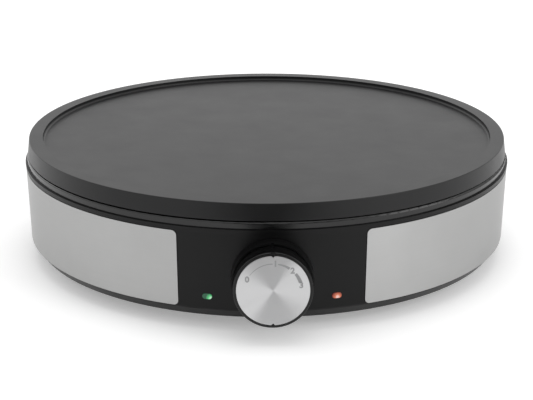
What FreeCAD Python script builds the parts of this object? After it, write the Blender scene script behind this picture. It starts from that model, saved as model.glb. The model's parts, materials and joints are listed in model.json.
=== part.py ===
import FreeCAD, Part
import math
import os
from types import SimpleNamespace

import Sketcher
from FreeCAD import Placement, Rotation, Vector

# An electric crepe maker: a round cast griddle on a drum-shaped housing, with a dial on the front.
# Millimetres. +Z is up, the dial is at -Y, and the origin is on the floor, midway between
# the dial's pointer lug and the cord gland's face.

# Sizes: name, value or sheet formula, meaning
SIZES = (
    ("shell_radius", 162.0, "shell's outer radius at the parting line"),
    ("foot_height", 7.6, "floor to the underside of the base pan"),
    ("shell_height", 56.9, "underside to the parting line under the collar"),
    ("collar_height", 4.4, "parting line to the collar's top"),
    ("plate_gap", 0.4, "shadow gap between the collar and the griddle"),
    ("skirt_height", 10.7, "griddle's lower edge to its rim top"),
    ("recess_depth", 3.0, "rim top down to the cooking surface"),
    ("plate_thickness", 5.0, "cooking surface to the griddle's underside"),
    ("rim_inset", 3.0, "shell's radius to the griddle's rim"),
    ("rim_radius", "=shell_radius - rim_inset", "griddle's outer radius at the rim top"),
    ("skirt_flare", 1.3, "how much wider the griddle is at its lower edge"),
    ("skirt_wall", 3.4, "wall of the griddle's skirt"),
    ("skirt_round", 0.7, "round of the griddle's lower outer edge"),
    ("rim_round", 0.5, "round of the griddle's rim edges"),
    ("rim_width", 9.0, "width of the griddle's rim"),
    ("recess_radius", "=rim_radius - rim_width", "radius of the cooking surface"),
    ("recess_round", 1.4, "round at the foot of the recess wall"),
    ("stud_radius", 6.0, "griddle's fixing studs"),
    ("element_spacing", 27.0, "circle of the feet to the heating element's ring"),
    ("element_circle", "=foot_circle - element_spacing", "radius of the heating element's ring"),
    ("element_radius", 4.0, "radius of the heating element's tube"),
    ("element_drop", 5.0, "griddle's underside to the middle of the tube"),
    ("element_bend", 12.0, "bend radius where the tube turns into its legs"),
    ("element_leg", 9.0, "offset of each leg from the middle"),
    ("element_reach", 36.0, "how far the element's legs turn in"),
    ("element_inset", "=element_circle - element_reach", "distance of the leg ends from the griddle's axis"),
    ("ridge_width", 16.0, "cast ridge that holds the heating element"),
    ("pin_radius", 1.3, "cold pins of the heating element"),
    ("pin_length", 12.0, "visible length of the cold pins"),
    ("shield_clearance", 12.0, "collar to the heat shield"),
    ("shield_radius", "=collar_inner - shield_clearance", "radius of the heat shield"),
    ("shield_thickness", 0.6, "sheet of the heat shield"),
    ("shield_lip", 4.0, "height of the heat shield's turned edge"),
    ("wire_hole", 11.0, "radius of the two wire holes in the heat shield"),
    ("front_hole_inset", 28.0, "heat shield's edge to its front wire hole"),
    ("front_hole_at", "=shield_radius - front_hole_inset", "front wire hole to the griddle's axis"),
    ("hole_lead", 22.0, "terminal block to the rear wire hole"),
    ("rear_hole_at", "=block_at - hole_lead", "rear wire hole to the griddle's axis"),
    ("collar_inset", 1.3, "shell's radius to the collar"),
    ("collar_radius", "=shell_radius - collar_inset", "outer radius of the collar"),
    ("collar_width", 10.7, "width of the collar"),
    ("collar_inner", "=collar_radius - collar_width", "inner radius of the collar"),
    ("collar_round", 1.1, "round of the collar's bead"),
    ("spigot_depth", 4.0, "how far the collar's spigot reaches into the shell"),
    ("spigot_wall", 2.2, "wall of the collar's spigot"),
    ("shell_wall", 2.6, "wall of the shell"),
    ("panel_top_inset", 0.3, "how much the wall narrows down to the trim panels"),
    ("panel_top_radius", "=shell_radius - panel_top_inset", "outer radius at the trim panels' top edge"),
    ("wall_taper", 1.4, "how much the wall narrows along the trim panels"),
    ("panel_low_radius", "=panel_top_radius - wall_taper", "outer radius at the trim panels' low edge"),
    ("under_slope", 5.1, "how much the wall narrows below the trim panels"),
    ("under_radius", "=panel_low_radius - under_slope", "outer radius at the shell's underside"),
    ("under_round", 4.0, "round between the wall and the sloping underside"),
    ("panel_drop", 3.2, "parting line down to the trim panels"),
    ("panel_lift", 6.2, "underside up to the trim panels"),
    ("panel_front", 20.3, "degrees from the front to the trim panels' edge"),
    ("panel_thickness", 0.6, "steel sheet of the trim panels"),
    ("panel_backing", 0.15, "adhesive behind the trim panels"),
    ("panel_edge_gap", 0.5, "gap round the trim panels"),
    ("panel_corner", 3.0, "corner radius of the trim panels"),
    ("ledge_width", 3.0, "how far the ledge reaches over the base pan"),
    ("ledge_radius", "=pan_radius - ledge_width", "inner radius of the shell's lower ledge"),
    ("ledge_thickness", 2.4, "thickness of the shell's lower ledge"),
    ("shell_rib", 6.0, "depth of the shell's upright ribs"),
    ("rib_thickness", 2.0, "thickness of the moulded ribs"),
    ("rib_sweep", 120.0, "degrees that the shell's ribs cover on each side"),
    ("rib_clearance", 0.5, "rib tops to the collar's spigot"),
    ("pan_inset", 3.2, "shell's underside to the base pan's edge"),
    ("pan_radius", "=under_radius - pan_inset", "radius of the base pan"),
    ("pan_thickness", 2.5, "floor of the base pan"),
    ("pan_rib_height", 3.0, "ribs on the base pan"),
    ("pan_rib_inner", 92.0, "inner end of the base pan's ribs"),
    ("pan_rib_gap", 12.0, "base pan's edge to its ribs"),
    ("pan_rib_outer", "=pan_radius - pan_rib_gap", "outer end of the base pan's ribs"),
    ("vent_inner", 40.0, "inner end of the base pan's vent slots"),
    ("vent_outer", 74.0, "outer end of the base pan's vent slots"),
    ("vent_width", 3.5, "width of the vent slots"),
    ("post_inset", 13.0, "heat shield's edge to the posts and feet"),
    ("foot_circle", "=shield_radius - post_inset", "distance of the feet from the griddle's axis"),
    ("foot_azimuth", 42.0, "degrees from the front or back to each foot"),
    ("foot_radius", 17.0, "radius of a foot where it meets the pan"),
    ("foot_taper", 1.5, "how much a foot narrows to the floor"),
    ("foot_round", 1.2, "round of a foot's lower edge"),
    ("peg_length", 7.0, "length of the peg on a foot"),
    ("post_radius", 6.5, "posts that carry the griddle"),
    ("post_bore", 4.3, "screw well in each post"),
    ("post_web", 6.0, "plastic between a screw's head and the post's top"),
    ("post_drop", 10.4, "how much shorter the posts are than the wall"),
    ("post_height", "=shell_height - post_drop", "height of the posts above the base pan"),
    ("plate_screw_radius", 2.0, "shank of the griddle's screws"),
    ("plate_screw_length", 17.0, "length of the griddle's screws"),
    ("plate_screw_head", 3.6, "head radius of the griddle's screws"),
    ("plate_screw_head_height", 2.6, "head height of the griddle's screws"),
    ("base_screw_inset", 6.0, "base pan's edge to the base screws"),
    ("base_screw_circle", "=pan_radius - base_screw_inset", "distance of the base screws from the axis"),
    ("base_screw_azimuth", 66.0, "degrees from the front or back to a base screw"),
    ("base_screw_radius", 1.5, "shank of the base screws"),
    ("base_screw_head", 2.8, "head radius of the base screws"),
    ("base_screw_head_height", 1.6, "head height of the base screws"),
    ("base_screw_length", 10.0, "length of the base screws"),
    ("base_boss_radius", 4.2, "shell's bosses for the base screws"),
    ("base_boss_height", 14.0, "height of those bosses"),
    ("dial_drop", 1.05, "dial's axis below the middle of the wall"),
    ("dial_height", "=foot_height + shell_height / 2 - dial_drop", "dial's axis above the floor"),
    ("bezel_margin", 4.15, "half the wall's height to the bezel's radius"),
    ("bezel_radius", "=shell_height / 2 - bezel_margin", "outer radius of the boss behind the dial"),
    ("bezel_reach", 7.7, "how far the bezel's lip stands out"),
    ("bezel_front", "=shell_radius + bezel_reach", "griddle's axis to the bezel's lip"),
    ("bezel_lip", 0.8, "width of the bezel's lip"),
    ("bezel_depth", 1.0, "depth of the bezel inside its lip"),
    ("boss_depth", 12.0, "how far the boss reaches in"),
    ("bezel_back", "=shell_radius - boss_depth", "griddle's axis to the inner end of the boss"),
    ("bezel_notch", 1.6, "width of the index notch in the lip"),
    ("knob_inset", 1.2, "bezel's radius to the knob's"),
    ("knob_radius", "=bezel_radius - knob_inset", "outer radius of the knob"),
    ("knob_reach", 11.8, "bezel's lip to the knob's front ring"),
    ("knob_front", "=bezel_front + knob_reach", "griddle's axis to the knob's front ring"),
    ("knob_wall", 2.2, "wall of the knob's skirt"),
    ("knob_face_wall", 2.4, "wall behind the knob's cap"),
    ("knob_round", 0.6, "round of the knob's front edge"),
    ("knob_gap", 0.4, "knob to the floor of the bezel"),
    ("hub_radius", 6.5, "hub inside the knob"),
    ("hub_gap", 1.5, "hub to the floor of the bezel"),
    ("knob_ring", 1.9, "width of the ring round the cap"),
    ("cap_radius", "=knob_radius - knob_ring", "radius of the spun metal cap"),
    ("cap_thickness", 0.8, "sheet of the cap"),
    ("cap_proud", 0.2, "cap's face ahead of the knob's ring"),
    ("cap_edge_gap", 0.15, "gap round the cap"),
    ("cap_notch", 1.1, "depth of the two notches in the cap's edge"),
    ("pointer_width", 1.2, "width of the pointer ridge on the knob"),
    ("pointer_height", 0.5, "height of the pointer ridge"),
    ("lug_width", 2.6, "width of the pointer lug on the ring"),
    ("lug_proud", 0.1, "lug ahead of the cap's face"),
    ("shaft_radius", 3.0, "radius of the thermostat's shaft"),
    ("shaft_flat", 2.0, "shaft's axis to its flat"),
    ("shaft_inset", 3.5, "knob's front ring to the shaft's tip"),
    ("shaft_front", "=knob_front - shaft_inset", "griddle's axis to the shaft's tip"),
    ("shaft_length", 30.0, "length of the thermostat's shaft"),
    ("shaft_back", "=shaft_front - shaft_length", "griddle's axis to the shaft's inner end"),
    ("shaft_fit", 0.06, "running clearance of the shaft"),
    ("clip_thickness", 0.4, "sheet of the knob's spring clip"),
    ("clip_length", 6.0, "length of the knob's spring clip"),
    ("clip_width", 3.6, "width of the knob's spring clip"),
    ("thermostat_side", 29.0, "width and height of the thermostat's case"),
    ("thermostat_depth", 22.0, "depth of the thermostat's case"),
    ("thermostat_corner", 2.5, "corner radius of the thermostat's case"),
    ("neck_radius", 5.0, "thermostat's threaded neck"),
    ("neck_proud", 0.8, "neck ahead of the bezel's floor"),
    ("tab_width", 6.3, "width of the thermostat's tabs"),
    ("tab_length", 8.0, "length of the thermostat's tabs"),
    ("tab_offset", 8.0, "tabs' distance from the dial's axis, sideways"),
    ("tab_rise", 7.0, "tabs' distance from the dial's axis, up and down"),
    ("case_screw_at", 11.0, "thermostat's screws to the dial's axis"),
    ("case_screw_radius", 1.5, "shank of the thermostat's screws"),
    ("case_screw_head", 2.8, "head radius of the thermostat's screws"),
    ("case_screw_head_height", 1.8, "head height of the thermostat's screws"),
    ("case_screw_length", 10.0, "length of the thermostat's screws"),
    ("lamp_azimuth", 13.8, "degrees from the front to each lamp"),
    ("lamp_height", 21.6, "lamps above the floor"),
    ("lens_length", 5.9, "length of a lamp's window"),
    ("lens_height", 3.5, "height of a lamp's window"),
    ("lens_proud", 0.5, "lens ahead of the wall"),
    ("lens_round", 0.35, "round of the lens's front edge"),
    ("lens_flange", 5.4, "radius of the lens's inner flange"),
    ("lens_flange_thickness", 1.2, "thickness of that flange"),
    ("lens_seat_gap", 0.35, "flange to the curved wall"),
    ("lens_socket", 4.0, "outer radius of the lens's lamp socket"),
    ("socket_depth", 6.0, "depth of the lamp socket"),
    ("neon_radius", 3.0, "radius of a neon lamp"),
    ("neon_length", 13.0, "length of a neon lamp"),
    ("gland_height", 24.0, "cord gland's axis above the floor"),
    ("gland_proud", 1.0, "gland's seat ahead of the wall"),
    ("gland_seat", "=shell_radius + gland_proud", "griddle's axis to the gland's seat"),
    ("gland_seat_radius", 13.0, "radius of the gland's seat"),
    ("gland_seat_depth", 11.0, "depth of the gland's seat"),
    ("gland_seat_back", "=gland_seat - gland_seat_depth", "griddle's axis to the inner end of the seat"),
    ("gland_radius", 6.0, "radius of the gland's barrel"),
    ("gland_flange", 9.0, "radius of the gland's flange"),
    ("gland_flange_thickness", 1.8, "thickness of the gland's flange"),
    ("gland_reach", 8.5, "gland's seat to the barrel's inner end"),
    ("cord_bore", 3.6, "radius of the cord's way through the gland"),
    ("nut_flats", 16.5, "width across the flats of the gland's nut"),
    ("nut_height", 3.5, "height of the gland's nut"),
    ("clamp_distance", 31.0, "gland's seat to the cord clamp"),
    ("clamp_at", "=gland_seat - clamp_distance", "cord clamp to the griddle's axis"),
    ("clamp_span", 10.0, "clamp's screws from the middle"),
    ("clamp_post", 4.0, "radius of the clamp's posts"),
    ("clamp_length", 30.0, "length of the clamp bar"),
    ("clamp_width", 8.0, "width of the clamp bar"),
    ("clamp_thickness", 3.0, "thickness of the clamp bar"),
    ("clamp_screw_length", 11.0, "length of the clamp's screws"),
    ("block_distance", 40.0, "cord clamp to the terminal block"),
    ("block_at", "=clamp_at - block_distance", "terminal block to the griddle's axis"),
    ("block_length", 27.0, "length of the terminal block"),
    ("block_width", 15.0, "width of the terminal block"),
    ("block_height", 12.0, "height of the terminal block"),
    ("block_pitch", 8.5, "pitch of its three ways"),
    ("block_port", 1.7, "radius of its wire ports"),
    ("block_port_height", 4.5, "wire ports above the base pan"),
    ("small_screw_radius", 1.4, "shank of the small screws"),
    ("small_screw_head", 2.6, "head radius of the small screws"),
    ("small_screw_head_height", 1.6, "head height of the small screws"),
    ("bulb_radius", 3.0, "radius of the thermostat's bulb"),
    ("bulb_length", 64.0, "length of the thermostat's bulb"),
    ("bulb_lead", 30.0, "rear wire hole to the thermostat's bulb"),
    ("bulb_at", "=rear_hole_at - bulb_lead", "bulb behind the griddle's axis"),
    ("fuse_radius", 3.0, "radius of the thermal fuse"),
    ("fuse_length", 26.0, "length of the thermal fuse"),
    ("fuse_setback", 32.0, "ends of the element's legs to the fuse"),
    ("fuse_at", "=element_inset - fuse_setback", "fuse ahead of the griddle's axis"),
    ("saddle_thickness", 0.8, "strip of the two saddle clips"),
    ("saddle_width", 10.0, "width of the two saddle clips"),
    ("saddle_span", 8.5, "saddle screws from the middle of the clip"),
    ("saddle_ear", 12.0, "end of a saddle's ears from its middle"),
    ("saddle_screw_depth", 3.5, "depth of the saddle screws in the griddle"),
    ("earth_x", 24.0, "earth boss beside the griddle's axis"),
    ("earth_lead", 8.0, "rear wire hole to the earth boss, front to back"),
    ("earth_y", "=rear_hole_at - earth_lead", "earth boss behind the griddle's axis"),
    ("earth_boss", 4.5, "radius of the earth boss"),
    ("earth_boss_height", 4.0, "height of the earth boss"),
    ("tag_thickness", 0.8, "thickness of the earth tag"),
    ("tag_length", 11.0, "earth tag's tongue from the screw"),
    ("wire_radius", 1.25, "radius of an insulated wire"),
    ("wire_entry", 4.0, "how far the wires reach into the terminal block"),
    ("wire_lead", 14.0, "first run of a wire out of a terminal"),
    ("wire_end", 7.0, "straight end of a wire at a pin or a rod"),
    ("wire_lane", 3.4, "heat shield to the wires above it"),
    ("wire_side", 3.0, "wires from the middle of the front hole"),
    ("wire_bend", 8.0, "longest reach of a wire's bend"),
    ("capillary_radius", 0.8, "radius of the capillary tube"),
    ("fit_gap", 0.1, "clearance of a part in its seat"),
)

DEGREE = math.pi / 180.0
SHEET = "sizes"
SHELL_RIBS = 5
PAN_RIBS = 8
VENTS = 16
NUT_SIDES = 6
BEND_SHARE = 0.45


class Size:
    """A number together with the sheet expression that gives it."""

    def __init__(self, value, text):
        self.value = value
        self.text = text

    def __add__(self, other):
        other = as_size(other)
        return Size(self.value + other.value, f"({self.text} + {other.text})")

    def __sub__(self, other):
        other = as_size(other)
        return Size(self.value - other.value, f"({self.text} - {other.text})")

    def __mul__(self, other):
        other = as_size(other)
        return Size(self.value * other.value, f"({self.text} * {other.text})")

    def __truediv__(self, other):
        other = as_size(other)
        return Size(self.value / other.value, f"({self.text} / {other.text})")

    def __rsub__(self, other):
        return as_size(other) - self

    def __neg__(self):
        return Size(-self.value, f"(0 - {self.text})")

    __radd__ = __add__
    __rmul__ = __mul__


def as_size(item):
    """A plain number as a Size."""
    return item if isinstance(item, Size) else Size(float(item), repr(float(item)))


def sine(angle):
    return Size(math.sin(angle.value * DEGREE), f"sin({angle.text} * 1 deg)")


def cosine(angle):
    return Size(math.cos(angle.value * DEGREE), f"cos({angle.text} * 1 deg)")


def square_root(item):
    return Size(math.sqrt(item.value), f"sqrt({item.text})")


def fill_sheet():
    """Writes the driving sizes to the sheet and returns them by name."""
    sheet = doc.addObject("Spreadsheet::Sheet", SHEET)
    sizes = SimpleNamespace()
    for row, (name, value, meaning) in enumerate(SIZES, start=1):
        sheet.setAlias(f"B{row}", name)
        sheet.set(f"A{row}", name)
        sheet.set(f"C{row}", meaning)
    for row, (name, value, meaning) in enumerate(SIZES, start=1):
        sheet.set(f"B{row}", str(value))
    doc.recompute()
    for name, value, meaning in SIZES:
        setattr(sizes, name, Size(float(sheet.get(name)), f"{SHEET}.{name}"))
    return sizes


def bind(item, path, size):
    """Binds one property of a document object to a size."""
    item.setExpression(path, as_size(size).text)


def place(item, x, y, z, azimuth=0.0):
    """Puts an object at x, y, z from the griddle's axis, turned about +Z."""
    spots = (as_size(x), as_size(y) + AXIS_SHIFT, as_size(z))
    turn = as_size(azimuth)
    item.Placement = Placement(
        Vector(*(spot.value for spot in spots)), Rotation(Vector(0, 0, 1), turn.value)
    )
    for letter, spot in zip("xyz", spots):
        bind(item, f"Placement.Base.{letter}", spot)
    if isinstance(azimuth, Size):
        bind(item, "Placement.Rotation.Angle", turn)


def new_body(label, height=0.0, azimuth=0.0):
    """A PartDesign body whose own origin is on the griddle's axis, at this height."""
    body = doc.addObject("PartDesign::Body", label)
    body.Label = label
    place(body, 0, 0, height, azimuth)
    nodes.append(body)
    return body


def new_sketch(body, name, role, offset=0.0, turn=0.0):
    """A sketch on one of the body's origin planes, moved along its normal and turned about its Y."""
    sketch = body.newObject("Sketcher::SketchObject", f"{body.Label}_{name}")
    plane = next(item for item in body.Origin.OriginFeatures if item.Role == role)
    sketch.AttachmentSupport = [(plane, "")]
    sketch.MapMode = "FlatFace"
    offset = as_size(offset)
    turn = as_size(turn)
    spin = Rotation(Vector(0, 1, 0), turn.value)
    sketch.AttachmentOffset = Placement(spin.multVec(Vector(0, 0, offset.value)), spin)
    bind(sketch, "AttachmentOffset.Base.z", offset * cosine(turn))
    bind(sketch, "AttachmentOffset.Base.x", offset * sine(turn))
    if turn.text != "0.0":
        bind(sketch, "AttachmentOffset.Rotation.Angle", turn)
    return sketch


def fix_distance(sketch, kind, geometry, point, size):
    """Fixes one coordinate of a point, measured from the sketch's origin."""
    size = as_size(size)
    index = sketch.addConstraint(
        Sketcher.Constraint(kind, -1, 1, geometry, point, size.value)
    )
    name = f"{kind}_{geometry}_{point}"
    sketch.renameConstraint(index, name)
    bind(sketch, f"Constraints.{name}", size)


def fix_radius(sketch, geometry, size):
    """Fixes the radius of a circle or an arc."""
    index = sketch.addConstraint(Sketcher.Constraint("Radius", geometry, size.value))
    name = f"Radius_{geometry}"
    sketch.renameConstraint(index, name)
    bind(sketch, f"Constraints.{name}", size)


def draw_outline(sketch, corners):
    """A closed outline of straight lines. A corner's third number, if any, is its round."""
    rounds = {index: as_size(corner[2]) for index, corner in enumerate(corners) if len(corner) == 3}
    corners = [(as_size(corner[0]), as_size(corner[1])) for corner in corners]
    spots = [Vector(x.value, y.value, 0) for x, y in corners]
    first = sketch.GeometryCount
    count = len(spots)
    for index in range(count):
        sketch.addGeometry(Part.LineSegment(spots[index], spots[(index + 1) % count]), False)
    for index in range(count):
        after = first + (index + 1) % count
        sketch.addConstraint(Sketcher.Constraint("Coincident", first + index, 2, after, 1))
    for index, (x, y) in enumerate(corners):
        fix_distance(sketch, "DistanceX", first + index, 1, x)
        fix_distance(sketch, "DistanceY", first + index, 1, y)
    for index, radius in rounds.items():
        before = (index - 1) % count
        near_before = (spots[before] + spots[index]) / 2
        near_after = (spots[index] + spots[(index + 1) % count]) / 2
        arc = sketch.GeometryCount
        sketch.fillet(first + before, first + index, near_before, near_after, radius.value, True, True)
        fix_radius(sketch, arc, radius)
    return sketch


def draw_box(sketch, low_x, high_x, low_y, high_y):
    """An upright rectangle."""
    return draw_outline(
        sketch, [(low_x, low_y), (high_x, low_y), (high_x, high_y), (low_x, high_y)]
    )


def draw_circle(sketch, x, y, radius):
    """A circle."""
    x, y, radius = as_size(x), as_size(y), as_size(radius)
    index = sketch.addGeometry(
        Part.Circle(Vector(x.value, y.value, 0), Vector(0, 0, 1), radius.value), False
    )
    fix_distance(sketch, "DistanceX", index, 3, x)
    fix_distance(sketch, "DistanceY", index, 3, y)
    fix_radius(sketch, index, radius)
    return sketch


def draw_lozenge(sketch, y, length, height):
    """A lying slot with round ends, centred on x = 0."""
    radius = height / 2
    reach = length / 2 - radius
    half_turn = math.pi / 2
    for side in (1, -1):
        centre = Vector(side * reach.value, y.value, 0)
        circle = Part.Circle(centre, Vector(0, 0, 1), radius.value)
        start = -half_turn if side == 1 else half_turn
        sketch.addGeometry(Part.ArcOfCircle(circle, start, start + math.pi), False)
    for side in (1, -1):
        right = Vector(reach.value, y.value + side * radius.value, 0)
        left = Vector(-reach.value, y.value + side * radius.value, 0)
        sketch.addGeometry(Part.LineSegment(right, left), False)
    for first, first_end, second, second_end in ((0, 2, 2, 1), (2, 2, 1, 1), (1, 2, 3, 2), (3, 1, 0, 1)):
        sketch.addConstraint(
            Sketcher.Constraint("Tangent", first, first_end, second, second_end)
        )
    fix_distance(sketch, "DistanceX", 0, 3, reach)
    fix_distance(sketch, "DistanceY", 0, 3, y)
    fix_distance(sketch, "DistanceX", 1, 3, -reach)
    fix_radius(sketch, 0, radius)
    return sketch


def draw_flatted_circle(sketch, radius, flat):
    """A circle round the origin with a flat at the top."""
    radius, flat = as_size(radius), as_size(flat)
    half = math.sqrt(radius.value**2 - flat.value**2)
    start = math.atan2(flat.value, -half)
    end = math.atan2(flat.value, half) + 2 * math.pi
    circle = Part.Circle(Vector(0, 0, 0), Vector(0, 0, 1), radius.value)
    sketch.addGeometry(Part.ArcOfCircle(circle, start, end), False)
    right = Vector(half, flat.value, 0)
    left = Vector(-half, flat.value, 0)
    sketch.addGeometry(Part.LineSegment(right, left), False)
    sketch.addConstraint(Sketcher.Constraint("Coincident", 0, 3, -1, 1))
    sketch.addConstraint(Sketcher.Constraint("Coincident", 0, 2, 1, 1))
    sketch.addConstraint(Sketcher.Constraint("Coincident", 1, 2, 0, 1))
    sketch.addConstraint(Sketcher.Constraint("Horizontal", 1))
    fix_radius(sketch, 0, radius)
    fix_distance(sketch, "DistanceY", 1, 1, flat)
    return sketch


def revolve(body, sketch, sweep=None):
    """Turns a profile about the sketch's upright axis, all round or evenly to both sides."""
    feature = body.newObject("PartDesign::Revolution", f"{sketch.Label}_turned")
    feature.Profile = sketch
    feature.ReferenceAxis = (sketch, ["V_Axis"])
    set_sweep(feature, sweep)
    return feature


def groove(body, sketch, sweep=None):
    """Cuts a turned profile."""
    feature = body.newObject("PartDesign::Groove", f"{sketch.Label}_grooved")
    feature.Profile = sketch
    feature.ReferenceAxis = (sketch, ["V_Axis"])
    set_sweep(feature, sweep)
    return feature


def set_sweep(feature, sweep):
    """Gives a turned feature its angle."""
    if sweep is None:
        feature.Angle = 360
    else:
        feature.Midplane = True
        feature.Angle = sweep.value
        bind(feature, "Angle", sweep)


def pad(body, sketch, length, backwards=False):
    """Adds a profile's prism, along the sketch's normal or against it."""
    feature = body.newObject("PartDesign::Pad", f"{sketch.Label}_pad")
    feature.Profile = sketch
    feature.Reversed = backwards
    bind(feature, "Length", length)
    return feature


def pocket(body, sketch, length, forwards=False):
    """Cuts a profile's prism, against the sketch's normal or along it, and checks that it cuts."""
    doc.recompute()
    before = body.Shape.Volume
    feature = body.newObject("PartDesign::Pocket", f"{sketch.Label}_pocket")
    feature.Profile = sketch
    feature.Reversed = forwards
    bind(feature, "Length", length)
    doc.recompute()
    if body.Shape.Volume >= before:
        raise RuntimeError(f"{feature.Label} cuts nothing")
    return feature


def polar(body, feature, count, sweep=None):
    """Repeats a feature about the griddle's axis."""
    pattern = body.newObject("PartDesign::PolarPattern", f"{feature.Label}_ring")
    pattern.Originals = [feature]
    axis = next(item for item in body.Origin.OriginFeatures if item.Role == "Z_Axis")
    pattern.Axis = (axis, [""])
    if sweep is None:
        pattern.Angle = 360
    else:
        bind(pattern, "Angle", sweep)
    pattern.Occurrences = count
    body.Tip = pattern
    return pattern


def round_edges(body, radius, chosen):
    """Rounds the edges of the body's last shape that the test picks."""
    doc.recompute()
    base = body.Tip
    names = [
        f"Edge{index}" for index, edge in enumerate(base.Shape.Edges, start=1) if chosen(edge)
    ]
    if not names:
        raise RuntimeError(f"no edge of {body.Label} to round")
    feature = body.newObject("PartDesign::Fillet", f"{body.Label}_round")
    feature.Base = (base, names)
    bind(feature, "Radius", radius)
    doc.recompute()
    return feature


def near(first, second):
    return abs(first - second) < 0.02


def ring_at(radius, height, axis="z"):
    """A test for whole circles of this radius, at this height along the axis."""

    def chosen(edge):
        curve = edge.Curve
        if not isinstance(curve, Part.Circle) or not near(curve.Radius, as_size(radius).value):
            return False
        return near(getattr(curve.Center, axis), as_size(height).value)

    return chosen


def corner_line(length):
    """A test for level straight edges up to this length: a sheet's corners, seen edge on."""

    def chosen(edge):
        if not isinstance(edge.Curve, Part.Line) or edge.Length > as_size(length).value:
            return False
        return near(edge.Vertexes[0].Z, edge.Vertexes[-1].Z)

    return chosen


def face_outline(front):
    """A test for the edges round a face this far to the front."""

    def chosen(edge):
        return all(near(vertex.Y, -front.value) for vertex in edge.Vertexes)

    return chosen


def four_spots(circle, azimuth):
    """Four places, mirrored left to right and front to back."""
    x = circle * sine(azimuth)
    y = circle * cosine(azimuth)
    return [(-x, -y), (x, -y), (-x, y), (x, y)]


def cylinder(name, x, y, z, radius, length, way="up"):
    """A Part cylinder whose base centre is at x, y, z, towards up, down, front or right."""
    turns = {
        "up": Rotation(),
        "down": Rotation(Vector(1, 0, 0), 180),
        "front": Rotation(Vector(1, 0, 0), 90),
        "right": Rotation(Vector(0, 1, 0), 90),
    }
    item = doc.addObject("Part::Cylinder", name)
    place(item, x, y, z)
    item.Placement.Rotation = turns[way]
    bind(item, "Radius", radius)
    bind(item, "Height", length)
    return item


def screws(label, spots, z, head, head_height, shank, length, way):
    """Equal pan-head screws in one node: z is where the heads seat, and the shanks run the given way."""
    back = {"up": "down", "down": "up"}[way]
    parts = []
    for index, (x, y) in enumerate(spots):
        name = f"{label}_{index}"
        parts.append(cylinder(f"{name}_shank", x, y, z, shank, length, way))
        parts.append(cylinder(f"{name}_head", x, y, z, head, head_height, back))
    return joined(label, parts)


def joined(label, parts):
    """One node from several Part objects; those that don't touch stay separate solids."""
    node = doc.addObject("Part::MultiFuse", label)
    node.Label = label
    node.Shapes = parts
    nodes.append(node)
    return node


def tube(label, route, radius):
    """A bent tube along straight runs that tangent arcs join. Each place is a vector of sizes."""
    points = [Vector(*(as_size(item).value for item in spot)) for spot in route]
    points = [point + Vector(0, AXIS_SHIFT.value, 0) for point in points]
    edges = []
    start = points[0]
    for before, corner, after in zip(points, points[1:], points[2:]):
        run_in = corner - before
        run_out = after - corner
        turn = run_in.getAngle(run_out)
        reach = min(size.wire_bend.value, BEND_SHARE * min(run_in.Length, run_out.Length))
        entry = corner - run_in.normalize() * reach
        leave = corner + run_out.normalize() * reach
        bisector = (entry + leave) / 2 - corner
        radius_here = reach / math.tan(turn / 2)
        depth = radius_here / math.cos(turn / 2) - radius_here
        middle = corner + bisector.normalize() * depth
        edges.append(Part.LineSegment(start, entry).toShape())
        edges.append(Part.Arc(entry, middle, leave).toShape())
        start = leave
    edges.append(Part.LineSegment(start, points[-1]).toShape())
    path = Part.Wire(edges)
    way = (points[1] - points[0]).normalize()
    section = Part.Wire(Part.makeCircle(radius.value, points[0], way))
    node = doc.addObject("Part::Feature", label)
    node.Label = label
    node.Shape = path.makePipeShell([section], True, False)
    nodes.append(node)
    return node


doc = FreeCAD.newDocument("crepe_maker")
size = fill_sheet()
nodes = []

# Heights above the floor
PAN_LOW = size.foot_height
PAN_TOP = PAN_LOW + size.pan_thickness
LEDGE_TOP = PAN_TOP + size.ledge_thickness
SHELL_TOP = PAN_LOW + size.shell_height
COLLAR_TOP = SHELL_TOP + size.collar_height
PLATE_LOW = COLLAR_TOP + size.plate_gap
PLATE_TOP = PLATE_LOW + size.skirt_height
COOKING = PLATE_TOP - size.recess_depth
PLATE_UNDER = COOKING - size.plate_thickness
ELEMENT_Z = PLATE_UNDER - size.element_drop
PANEL_LOW = PAN_LOW + size.panel_lift
PANEL_TOP = SHELL_TOP - size.panel_drop
POST_TOP = PAN_TOP + size.post_height
SHIELD_TOP = POST_TOP + size.shield_thickness
SCREW_SEAT = POST_TOP - size.post_web

# Distances from the griddle's axis towards the front, along the dial's axis
BEZEL_FLOOR = size.bezel_front - size.bezel_depth
CASE_FRONT = BEZEL_FLOOR - size.shell_wall
CASE_BACK = CASE_FRONT - size.thermostat_depth
KNOB_BACK = BEZEL_FLOOR + size.knob_gap
HUB_BACK = BEZEL_FLOOR + size.hub_gap
CAP_FRONT = size.knob_front + size.cap_proud
CAP_BACK = CAP_FRONT - size.cap_thickness
LUG_FRONT = CAP_FRONT + size.lug_proud
GLAND_FACE = size.gland_seat + size.gland_flange_thickness
GLAND_WALL = size.gland_seat - size.shell_wall

# The griddle's axis stands behind the origin by half of what the dial's lug reaches further out
AXIS_SHIFT = (LUG_FRONT - GLAND_FACE) / 2

SKIRT_RADIUS = size.rim_radius + size.skirt_flare
FEET = four_spots(size.foot_circle, size.foot_azimuth)
BASE_SCREWS = four_spots(size.base_screw_circle, size.base_screw_azimuth)


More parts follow.
